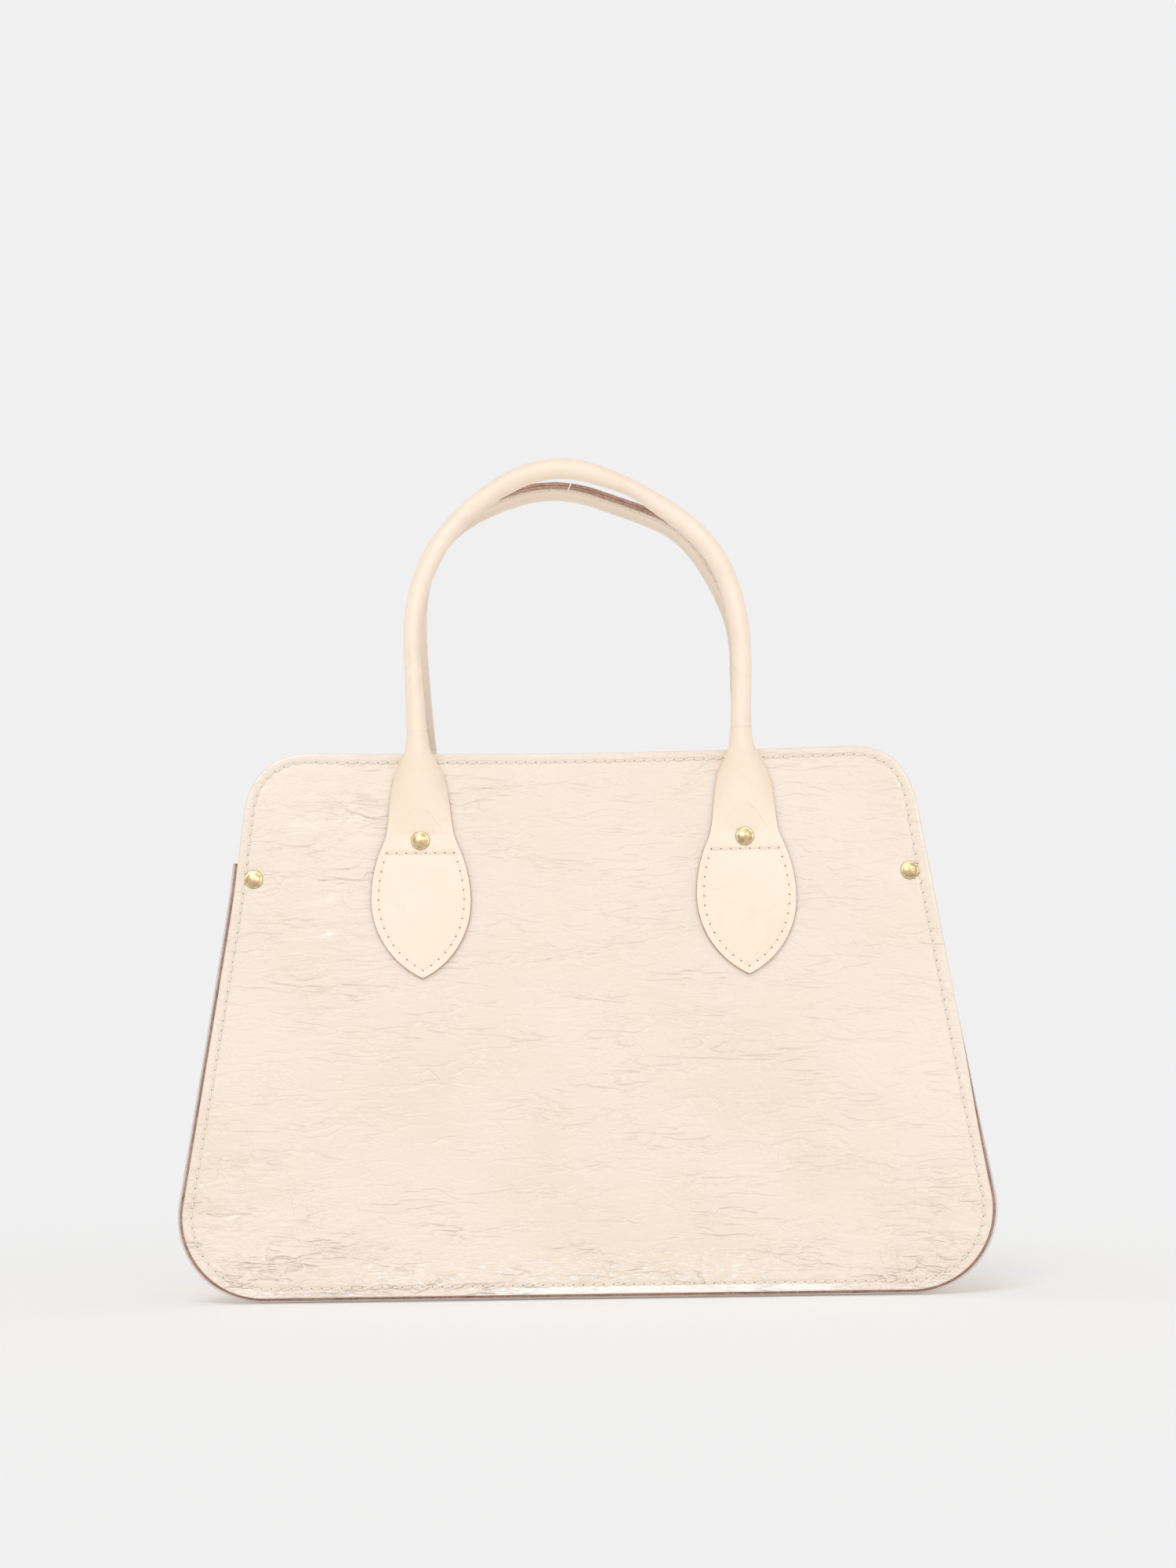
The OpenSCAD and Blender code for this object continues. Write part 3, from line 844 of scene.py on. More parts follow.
@dataclass(frozen=True)
class BrassFinish:
    """Brass with fine scratches, duller in patches."""

    name: str = "aged_brass"
    light: tuple = srgb(200, 180, 140)
    dull: tuple = srgb(162, 141, 106)

    def build(self, effects: Effects) -> Material:
        """Draws the material on Object coordinates."""
        skin = Skin(self.name)
        where = skin.put("TexCoord").outputs["Object"]
        cloud = skin.noise(where, 420.0, 3.0, 0.6)
        scratches = skin.noise(skin.scaled(where, (1.0, 1.0, 6.0)), 2600.0, 2.0, 0.6)
        colour = skin.mix(skin.ramp(cloud, 0.35, 0.7), self.light, self.dull)
        rough = skin.ramp(cloud, 0.3, 0.7, 0.3, 0.46)
        return skin.surface(colour, rough, scratches, 0.03, 0.15, Metallic=1.0)


@dataclass(frozen=True)
class ThreadFinish:
    """Waxed sewing thread with a visible twist."""

    name: str = "waxed_thread"
    light: tuple = srgb(255, 248, 236)
    shade: tuple = srgb(240, 226, 206)

    def build(self, effects: Effects) -> Material:
        """Draws the material on the thread's own map, whose first value runs along it."""
        skin = Skin(self.name)
        inputs = {"Vector": skin.put("UVMap", uv_map="run").outputs[0], "Scale": 2.0, "Distortion": 0.6}
        twist = skin.put("TexWave", inputs, wave_type="BANDS", bands_direction="DIAGONAL").outputs["Fac"]
        colour = skin.mix(skin.ramp(twist, 0.1, 0.7), self.shade, self.light)
        return skin.surface(colour, skin.ramp(twist, 0.0, 1.0, 0.7, 0.55), twist, 0.06, 0.6)


@dataclass(frozen=True)
class Finishes:
    """Every material of the bag."""

    panel: Material
    gusset: Material
    strip: Material
    suede: Material
    board: Material
    cord: Material
    brass: Material
    thread: Material

    @classmethod
    def make(cls, effects: Effects) -> "Finishes":
        """Builds the materials from their finishes."""
        panel = LeatherFinish(
            "creased_cream_leather", light=srgb(245, 229, 214), deep=srgb(241, 225, 206), roughness=0.36,
            coat=0.6, coat_roughness=0.11, crease_depth=0.62, ripple_depth=1.05, pore_depth=0.008,
            crease_scale=(52.0, 185.0, 1.0), seams=(("seam", CUT.stitch_pitch),), hole=srgb(140, 106, 84),
            hole_radius=0.32,
        )
        gusset = replace(panel, name="gusset_leather")
        strip = LeatherFinish(
            "smooth_cream_leather", light=srgb(255, 236, 216), deep=srgb(253, 233, 211), roughness=0.46,
            coat=0.08, coat_roughness=0.3, crease_depth=0.05, ripple_depth=0.05, pore_depth=0.006,
            crease_scale=(60.0, 60.0, 1.0), seams=(("seam", 4.2), ("cross", 4.04)),
        )
        suede = NappedFinish("suede_lining", srgb(160, 122, 98), srgb(118, 84, 64), 1400.0, 0.25, 0.4)
        board = NappedFinish("grey_board", srgb(128, 100, 82), srgb(92, 70, 56), 700.0, 0.08)
        cord = NappedFinish("cotton_cord", srgb(228, 216, 196), srgb(196, 180, 154), 900.0, 0.3)
        finishes = (panel, gusset, strip, suede, board, cord, BrassFinish(), ThreadFinish())
        return cls(*(finish.build(effects) for finish in finishes))


def cover(piece: Piece, material: Material) -> None:
    """Gives an object one material in place of its own."""
    piece.data.materials.clear()
    piece.data.materials.append(material)


def dress(piece: Piece, material: Material, slot: str, *stands_for: str, on: str | None = BODY) -> Piece:
    """Gives a piece its material, hides the nodes that it stands for and sets it on a body.

    Args:
        piece: The finished object.
        material: Its material.
        slot: The record's material slot. Not used.
        *stands_for: Names of the nodes that it replaces.
        on: The body that it rides on, or None, where it is set on no body.

    Returns:
        The piece.
    """
    cover(piece, material)
    if stands_for:
        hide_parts(*stands_for)
    if on:
        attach(piece, on)
    log.info("%s: %d faces", piece.name, len(piece.data.polygons))
    return piece


def tube_rings(path: Array, normal: Array, radius: Array, sides: int) -> Array:
    """Rings of a thin tube round many paths at once.

    A ring's point is path + radius (cos(a) n + sin(a) b), with n the normal made square to the path's
    direction t, and b = t x n.

    Args:
        path: Points of the centre lines, (count, steps, 3).
        normal: Rough normals of the surface beneath, which broadcast against the paths.
        radius: Radius at each step, which broadcasts to (count, steps).
        sides: Number of points in a ring.

    Returns:
        The rings, (count, steps, sides, 3).
    """
    along = unit(np.gradient(path, axis=1))
    across = unit(np.cross(along, np.broadcast_to(normal, path.shape)))
    up = np.cross(across, along)
    turn = circle(sides)
    ring = np.cos(turn)[:, None] * up[:, :, None, :] + np.sin(turn)[:, None] * across[:, :, None, :]
    radius = np.broadcast_to(radius, path.shape[:2])
    return path[:, :, None, :] + radius[:, :, None, None] * ring


@dataclass(frozen=True)
class Thread:
    """Sewing thread and the way it lies: out of a hole, over the leather and into the next one."""

    radius: float = 0.36
    lift: float = 0.34
    sink: float = 0.5
    slant: float = 0.55
    cover: float = 0.92
    steps: int = 6
    sides: int = 6

    def row(self, start: int, stop: int) -> Array:
        """Places of the stitches' rings, counted in stitches from the row's start, (stitches, steps)."""
        middle = (1 - np.cos(np.linspace(0, math.pi, self.steps))) / 2
        return np.arange(start, stop)[:, None] + ((1 - self.cover) / 2 + self.cover * middle)

    def sew(
        self, draft: Draft, ground: Array, normal: Array, seed: int, slant: float | None = None,
        proud: float = 1.0,
    ) -> None:
        """Adds a row of stitches to a draft.

        The centre line is ground + slant * side + height * normal, with height from -sink at both ends to
        lift in the middle as sin(pi t)^0.5, and the side offset running from -slant to slant.

        Args:
            draft: The piece that takes the stitches.
            ground: Surface points under each stitch, (count, steps, 3), in metres.
            normal: Outward normals, which broadcast to the same shape.
            seed: Seed of the small irregularities.
            slant: Slant of the stitches, where it isn't the usual one.
            proud: Share of the usual lift.
        """
        slant = self.slant if slant is None else slant
        count = len(ground)
        rng = np.random.default_rng(seed)
        t = np.linspace(0, 1, self.steps)
        normal = np.broadcast_to(normal, ground.shape)
        side = unit(np.cross(normal, np.gradient(ground, axis=1)))
        lean = (2 * t - 1) * (slant * rng.uniform(0.75, 1.2, (count, 1)))
        lean = lean + rng.uniform(-0.08, 0.08, (count, 1))
        lift = self.lift * proud * rng.uniform(0.8, 1.2, (count, 1))
        height = -self.sink + (self.sink + lift) * np.sqrt(np.abs(np.sin(math.pi * t)))
        path = ground + (side * lean[..., None] + normal * height[..., None]) * MM
        radius = self.radius * MM * (0.8 + 0.2 * np.sin(math.pi * t)) * rng.uniform(0.93, 1.07, (count, 1))
        self.lay(draft, path, normal, radius)

    def lay(self, draft: Draft, path: Array, normal: Array, radius: Array) -> None:
        """Adds lengths of thread to a draft, each closed with two quads at both ends.

        Args:
            draft: The piece that takes them.
            path: Points of the centre lines, (count, steps, 3).
            normal: Rough normals of the surface beneath.
            radius: Radius at each step, which broadcasts to (count, steps).
        """
        ids = draft.add_points(tube_rings(path, normal, radius, self.sides))
        ring = closed(ids, 2)
        run = together(np.linspace(0, 3, path.shape[1])[:, None], np.arange(self.sides + 1) / self.sides)
        draft.add_grid(ring, run=np.broadcast_to(run, (*ring.shape, 2)))
        for end, *corners in ((0, 3, 2, 1, 0), (0, 5, 4, 3, 0), (-1, 0, 1, 2, 3), (-1, 0, 3, 4, 5)):
            draft.add_faces(ids[:, end, corners])


THREAD = Thread()


@dataclass(frozen=True)
class Leather:
    """Relief of the body leather: creases, the stitched channel and the dents round the side rivets."""

    round_r: float = 0.75
    channel: float = 0.06
    crease: float = 0.4
    rivet_dent: float = 0.3

    def creasing(self, x: Array, s: Array, side: Side) -> Array:
        """How creased the leather is, 0 to 1: most along the bottom, some in patches higher up."""
        x = x * side.sign
        low = np.exp(-np.clip(s - CUT.flange_reach, 0, None) / 17)
        corner = 0.6 * bump(x, -150, 60) * bump(s, 20, 42) + 0.35 * bump(x, 165, 50) * bump(s, 15, 35)
        upper = 0.42 * bump(x, -98, 30) * bump(s, 168, 46) + 0.3 * bump(x, -92, 16) * bump(s, 212, 16)
        beside = 0.24 * bump(x, -44, 12) * bump(s, 212, 18) + 0.22 * bump(x, 40, 60) * bump(s, 95, 60)
        return np.clip(0.12 + 0.9 * low + corner + upper + beside, 0, 1)

    def worn(self, x: Array, s: Array, inset: Array, side: Side) -> Array:
        """Share of painted highlight, 0 to 1: the margin along the bottom, painted as glare, and less so a
        stretch above it, where it shows as glint streaks.
        """
        x = x * side.sign
        stretch = 0.3 + 0.7 * ease((x + 60) / 50) * (1 - ease((x - 85) / 35))
        margin = stretch * (1 - ease((inset - 2.6) / 1.6)) * (1 - ease((s - 9) / 8)) * ease(inset / 0.5)
        above = 0.29 * ease((x + 135) / 45) * (1 - ease((x - 60) / 60)) * (1 - ease((s - 10) / 22))
        return np.maximum(margin, above * ease((inset - 2) / 3))

    def relief(self, x: Array, s: Array, inset: Array, side: Side) -> Array:
        """Height of the grain side above its plane, in millimetres.

        Slow ripples, valleys where a stretched and warped noise crosses zero, a channel along the stitch
        row, a rounding at the cut edge and a dent round each side rivet.
        """
        seed = 31 if side is Side.FRONT else 51
        strength = self.creasing(x, s, side)
        flow = s + 9 * np.exp(-(x * side.sign + 176) / 26) - 4 * lattice_noise(x / 38, s / 30, seed)
        ripple = lattice_noise(x / 31, flow / 8.5, seed + 1) * 0.5
        ripple = ripple + lattice_noise(x / 16, flow / 4.6, seed + 2) * 0.3
        valley = 1 - np.clip(np.abs(lattice_noise(x / 24, flow / 6.2, seed + 3)) / 0.34, 0, 1)
        slow = lattice_noise(x / 52, s / 34, seed + 4) * 0.1
        height = slow + self.crease * strength * (ripple - 0.8 * valley**1.5)
        height = height * ease(inset / 6) - self.channel * bump(inset, CUT.stitch_inset, 0.9)
        height = height - rounding(inset, self.round_r)
        return height - self.rivet_dent * bump(CUT.from_side_rivet(x, s), 0, 5.5)


LEATHER = Leather()


@dataclass(frozen=True)
class PlateGrid:
    """Counts of a plate's mesh: cells across and up, which halve twice on its hidden face."""

    across: int
    up: int

    @property
    def coarse(self) -> "PlateGrid":
        """The hidden face's grid."""
        return PlateGrid(self.across // 4, self.up // 4)

    def columns(self) -> tuple[Array, Array, Array]:
        """Edge points, normals and stitch counts all round, evenly spaced within each of the four sides."""
        marks = OUTLINE.corners(CUT.stitch_inset)
        counts = (self.across, self.up, self.across, self.up)
        spans = zip(marks, marks[1:], counts)
        along = np.concatenate([np.linspace(a, b, n, endpoint=False) for a, b, n in spans])
        edge, normal = OUTLINE.places(along, CUT.stitch_inset)
        return edge, normal, along / marks[-1] * CUT.stitch_count

    def sides(self, ring: Array) -> tuple[Array, Array, Array, Array]:
        """Bottom, right, top and left of a ring that starts lower left, each running right or up."""
        ring = closed(ring, 0)
        marks = np.cumsum([0, self.across, self.up, self.across, self.up])
        bottom, right, top, left = (ring[a : b + 1] for a, b in zip(marks, marks[1:]))
        return bottom, right, top[::-1], left[::-1]

    def fill(self, ring: Array) -> Array:
        """Coons patch inside a closed ring of points.

        P(u, v) = (1-v) bottom + v top + (1-u) left + u right - the blend of the four corners.

        Args:
            ring: Points in order round it, from the lower left corner along the bottom, (2 (across + up), 2).

        Returns:
            Points of the patch, the ring's own among them, (up + 1, across + 1, 2).
        """
        bottom, right, top, left = self.sides(ring)
        u = np.linspace(0, 1, self.across + 1)[None, :, None]
        v = np.linspace(0, 1, self.up + 1)[:, None, None]
        edges = (1 - v) * bottom[None] + v * top[None] + (1 - u) * left[:, None] + u * right[:, None]
        low, high = ((1 - u) * side[0] + u * side[-1] for side in (bottom, top))
        return edges - (1 - v) * low - v * high

    def number(self, ring: Array, inner: Array) -> Array:
        """Numbers of a patch's points, its border taken from a ring's numbers and the rest from inner."""
        ids = np.zeros((self.up + 1, self.across + 1), int)
        ids[1:-1, 1:-1] = inner
        ids[0], ids[:, -1], ids[-1], ids[:, 0] = self.sides(ring)
        return ids


@dataclass
class Plate:
    """A leather or suede plate cut to the panel's outline: a fine face, a rounded edge and a plain back."""

    side: Side
    face_d: float
    back_d: float
    grid: PlateGrid
    face_insets: tuple[float, ...]
    relief_share: float = 1.0

    def surface(self, x: Array, s: Array, inset: Array | float, e: Array | float) -> Array:
        """Bag points at a share e of the thickness behind the fine face, 0 on the face and 1 on the back."""
        relief = LEATHER.relief(x, s, inset, self.side) * self.relief_share * (1 - e)
        outward = 1 if self.back_d > self.face_d else -1
        d = self.face_d + (self.back_d - self.face_d) * e - outward * relief
        return hang(x, d, s, self.side)

    def fill(self, draft: Draft, grid: PlateGrid, ids: Array, ring: Array, e: int) -> None:
        """Closes a ring with a patch, whose faces are turned over on the back.

        Args:
            draft: The piece that takes it.
            grid: Counts of the patch.
            ids: The ring's point numbers.
            ring: The ring's points on the panel's plane.
            e: 0 on the fine face and 1 on the back.
        """
        patch = grid.fill(ring)
        x, s = np.moveaxis(patch[1:-1, 1:-1], -1, 0)
        creasing = LEATHER.creasing(x, s, self.side) * (1 - e)
        inner = draft.add_points(self.surface(x, s, CUT.inset(x, s), e), raw=e, creasing=creasing)
        step = 1 - 2 * e
        draft.add_grid(grid.number(ids, inner)[:, ::step], cut=patch[:, ::step] * MM)

    def build(self, name: str) -> Piece:
        """Makes the plate: rings from the back round the edge to the face, and a patch on both sides."""
        draft = Draft(maps=("cut", "seam"))
        edge, normal, count = self.grid.columns()
        rows = [(0.3, 1.0, 0.6), (0.0, 0.86, 1.0), (0.0, 0.6, 1.0)]
        rows += [(i, 0.0, 0.0) for i in self.face_insets]
        inset, e, raw = (np.array(c)[:, None] for c in zip(*rows))
        flat = edge[None] - normal[None] * inset[..., None]
        x, s = np.moveaxis(flat, -1, 0)
        # The painted-highlight share along the bottom, kept off the raw edge.
        creasing, worn = LEATHER.creasing(x, s, self.side), LEATHER.worn(x, s, inset, self.side) * (raw < 0.5)
        ids = draft.add_points(self.surface(x, s, inset, e), raw=raw, creasing=creasing, worn=worn)
        seam = together(np.append(count, CUT.stitch_count), inset - CUT.stitch_inset)
        draft.add_grid(closed(ids), cut=closed(flat) * MM, seam=seam)
        self.fill(draft, self.grid, ids[-1], flat[-1], 0)

        ring = ids[0]
        for step, depth in ((2, 2.5), (4, 6.0)):
            flat = edge[::step] - normal[::step] * depth
            x, s = flat.T
            new = draft.add_points(self.surface(x, s, depth, 1), raw=1.0)
            far, middle, near, after = np.roll(ring[::2], -1), ring[1::2], ring[::2], np.roll(new, -1)
            for corners in ((new, middle, near), (new, after, middle), (after, far, middle)):
                draft.add_faces(np.stack(corners, 1))
            ring = new
        self.fill(draft, self.grid.coarse, ring, flat, 1)
        return draft.build(name)


@dataclass
class PanelSide:
    """One half of the bag's body: the leather panel, its lining and the row that sews them."""

    side: Side
    panel_grid: PlateGrid = PlateGrid(300, 168)
    lining_grid: PlateGrid = PlateGrid(140, 84)
    panel_insets: tuple[float, ...] = (
        0.0, 0.07, 0.2, 0.42, 0.75, 1.2, 1.9, 2.7, 3.3, 3.65, 4.0, 4.35, 4.7, 5.4, 6.5, 8.0, 10.0, 12.5, 15.5,
        19.0,
    )
    lining_insets: tuple[float, ...] = (0.0, 0.15, 0.6, 1.6, 3.0, 4.0, 5.0, 7.0, 10.0, 14.0, 19.0)

    def build(self, finishes: Finishes) -> None:
        """Makes and dresses the three pieces."""
        name = self.side.value
        panel = Plate(self.side, 0.0, CUT.panel_t, self.panel_grid, self.panel_insets)
        dress(panel.build(f"{name}_panel_leather"), finishes.panel, "cream_leather", f"{name}_panel")
        lining = Plate(self.side, CUT.stack_t, CUT.panel_t + 0.02, self.lining_grid, self.lining_insets, 0.35)
        dress(lining.build(f"{name}_lining_suede"), finishes.suede, "suede_lining", f"{name}_lining")
        dress(self.stitches(), finishes.thread, "cotton_cord")

    def stitches(self) -> Piece:
        """The row all round the panel, on its face and on the lining or the flange behind it."""
        draft = Draft(maps=("run",), marks=())
        pitch = OUTLINE.marks(CUT.stitch_inset)[-1] / CUT.stitch_count
        along = THREAD.row(0, CUT.stitch_count) * pitch
        edge, normal = OUTLINE.places(along, CUT.stitch_inset)
        x, s = np.moveaxis(edge - normal * CUT.stitch_inset, -1, 0)
        face = hang(x, -LEATHER.relief(x, s, CUT.stitch_inset, self.side), s, self.side)
        out = face_normal(self.side)
        clear = CUT.from_side_rivet(x, s).min(1) > CUT.cap_d / 2 - 0.6
        THREAD.sew(draft, face[clear], out, 71)
        behind = np.where(s.min(1) > CUT.gusset_end, CUT.stack_t, CUT.seam_t)[:, None]
        THREAD.sew(draft, hang(x, behind, s, self.side), -out, 72)
        return draft.build(f"{self.side.value}_panel_stitches")


@dataclass
class Gusset:
    """The strip between the panels, with its turned flanges and its lining."""

    web_bow: float = 6.5
    bevel_w: float = 1.0
    hidden_share: float = 0.85
    foot_share: float = 0.3
    flange_steps: int = 10
    fold_steps: int = 6
    web_steps: int = 26
    side_steps: int = 170

    def stations(self) -> tuple[Array, Array, Array, Array, Array]:
        """Places along the strip, from its upper left end round the bottom to its upper right end.

        Returns:
            Edge points, outward normals, stitch counts, flange widths and inward bows.
        """
        marks, a = OUTLINE.marks(CUT.stitch_inset), CUT.side_angle
        rise = (CUT.gusset_end - (CUT.mouth_centre[1] + CUT.mouth_corner_r * math.sin(a))) / math.cos(a)
        bottom, whole = marks[1] + (marks[2] - marks[1]) / 2, marks[-1]
        left = np.linspace(marks[7] - rise, whole + bottom, self.side_steps)
        right = np.linspace(bottom, marks[4] + rise, self.side_steps)
        along = np.concatenate([left, right[1:] + whole])
        edge, normal = OUTLINE.places(along, CUT.stitch_inset)
        s = edge[:, 1]
        foot = CUT.base_centre[1] + CUT.base_corner_r * math.sin(a)
        climb = np.clip((s - foot) / (CUT.gusset_end - foot), 0, 1)
        top = CUT.side_rivet_inset + CUT.back_cap_d / 2 + CUT.rivet_margin + CUT.fold_r
        width = CUT.seam_width + (top - CUT.seam_width) * ease(climb) * (np.abs(edge[:, 0]) > 100)
        bow = self.web_bow * ease((s - 12) / 70) * (1 - 0.3 * ease((s - 120) / 70))
        return edge, normal, along / whole * CUT.stitch_count, width, bow

    def half_section(self, width: Array, flesh: bool) -> tuple[Array, Array, Array]:
        """Half of the strip's section on one of its sides.

        It runs from the flange's tip along the flange and round the fold to the start of the web.

        Args:
            width: Flange width at each station.
            flesh: Whether it is the flesh side, which lies on the lining, or the grain side.

        Returns:
            Distance out from the panel's edge and depth, each (stations, points), and the raw mark, which
            is low on the pale bevel between the two tips.
        """
        fold_d = CUT.seam_t + CUT.fold_r
        r = CUT.fold_r + (CUT.gusset_t if flesh else 0)
        reach = CUT.flange_reach - (self.bevel_w if flesh else 0.12)
        tip_d = CUT.stack_t + (AIR if flesh else 0)
        bevel = 2 if flesh else 0
        t = np.linspace(0, 1, self.flange_steps - bevel)[None, :]
        start = -width[:, None] + CUT.fold_r
        flange_out = reach + (start - reach) * t**1.5
        flange_d = np.broadcast_to(tip_d if flesh else CUT.seam_t, flange_out.shape)
        if flesh:
            share = np.array([[0.94, 0.06]]) + 0 * width[:, None]
            flange_out = np.concatenate([reach + self.bevel_w * share, flange_out], 1)
            flange_d = np.concatenate([tip_d + CUT.gusset_t * share, flange_d], 1)
        turn = np.linspace(math.pi / 2, math.pi, self.fold_steps + 1)[None, 1:]
        out = np.concatenate([flange_out, start + r * np.cos(turn)], 1)
        d = np.concatenate([flange_d, fold_d - r * np.sin(turn) + 0 * width[:, None]], 1)
        raw = np.full(out.shape[1], 1.0 if flesh else 0.0)
        raw[:bevel] = 0.3
        return out, d, raw

    def face(self, flesh: bool, grow: float = 0.0) -> tuple[Array, Array, Array]:
        """One side of the whole strip in the bag's frame, from the front tip to the rear tip.

        The web runs straight from fold to fold plus an inward bow of 4 t (1 - t) times the bow.

        Args:
            flesh: Whether it is the flesh side or the grain side.
            grow: How far the web lies inside its place.

        Returns:
            Points (stations, columns, 3), raw marks and distance outwards of each column.
        """
        edge, normal, _, width, bow = self.stations()
        out, d, raw = self.half_section(width, flesh)
        if grow:
            out = out - grow * (out < -width[:, None] + 0.01)
        hidden = self.hidden_share * (edge[:, :1] > 0) * ease((edge[:, 1:] - 45) / 85)
        hidden = np.maximum(hidden, self.foot_share * (1 - ease((edge[:, 1:] - 2) / 12)))
        near = np.where(out > 0, out * (1 - hidden), out)
        front, rear = (
            hang(edge[:, :1] + normal[:, :1] * o, d, edge[:, 1:] + normal[:, 1:] * o, side)
            for o, side in ((near, Side.FRONT), (out, Side.REAR))
        )
        t, bow = np.linspace(0, 1, self.web_steps)[None, 1:-1, None], bow[:, None, None]
        inward = together(-normal[:, 0], 0.0, -normal[:, 1])[:, None]
        wrinkle = lattice_noise(np.arange(len(edge))[:, None] / 5.0, t[..., 0] * 5, 91)[..., None] * 0.25
        dip = 4 * t * (1 - t) * (bow + wrinkle * (bow > 0.5)) * MM
        web = front[:, -1:] * (1 - t) + rear[:, -1:] * t + inward * dip
        raws = np.concatenate([raw, np.full(web.shape[1], raw[-1]), raw[::-1]])
        outs = there_and_back(np.concatenate([out, np.full(web.shape[:2], -FAR)], 1), out)
        return there_and_back(np.concatenate([front, web], 1), rear), raws, outs

    def build(self, finishes: Finishes) -> None:
        """Makes and dresses the gusset and its lining."""
        for name, material, slot, node, is_lining in (
            ("gusset_leather", finishes.gusset, "cream_leather", "gusset", False),
            ("gusset_lining_suede", finishes.suede, "suede_lining", "gusset_lining", True),
        ):
            dress(self.strip(name, is_lining), material, slot, node)

    def strip(self, name: str, is_lining: bool) -> Piece:
        """Closes a grain and a flesh side into one strip.

        Args:
            name: Name of the piece.
            is_lining: Whether it is the lining of the web, which lies inside the flesh side.

        Returns:
            The piece.
        """
        draft = Draft(maps=("cut", "seam"))
        count = self.stations()[2]
        if is_lining:
            first = self.flange_steps + self.fold_steps - 1
            keep = slice(first, first + self.web_steps)
            grain, flesh = (self.face(True, grow)[0][:, keep] for grow in (AIR, CUT.lining_t))
            grain_raw = flesh_raw = np.zeros(self.web_steps)
            out = out_flesh = np.full(grain.shape[:2], -FAR)
        else:
            (grain, grain_raw, out), (flesh, flesh_raw, out_flesh) = self.face(False), self.face(True)
        points, outs = there_and_back(grain, flesh), closed(there_and_back(out, out_flesh))
        ids = draft.add_points(points, raw=np.concatenate([grain_raw, flesh_raw[::-1]]), creasing=0.3)
        steps = np.linalg.norm(np.diff(closed(points), axis=1), axis=2)
        across = np.concatenate([[0], np.cumsum(steps, 1).mean(0)])
        along = count * CUT.stitch_pitch * MM
        seam = together(count[:, None], -outs - CUT.stitch_inset)
        draft.add_skin(ids, cut=together(along[:, None], across), seam=seam)
        return draft.build(name)


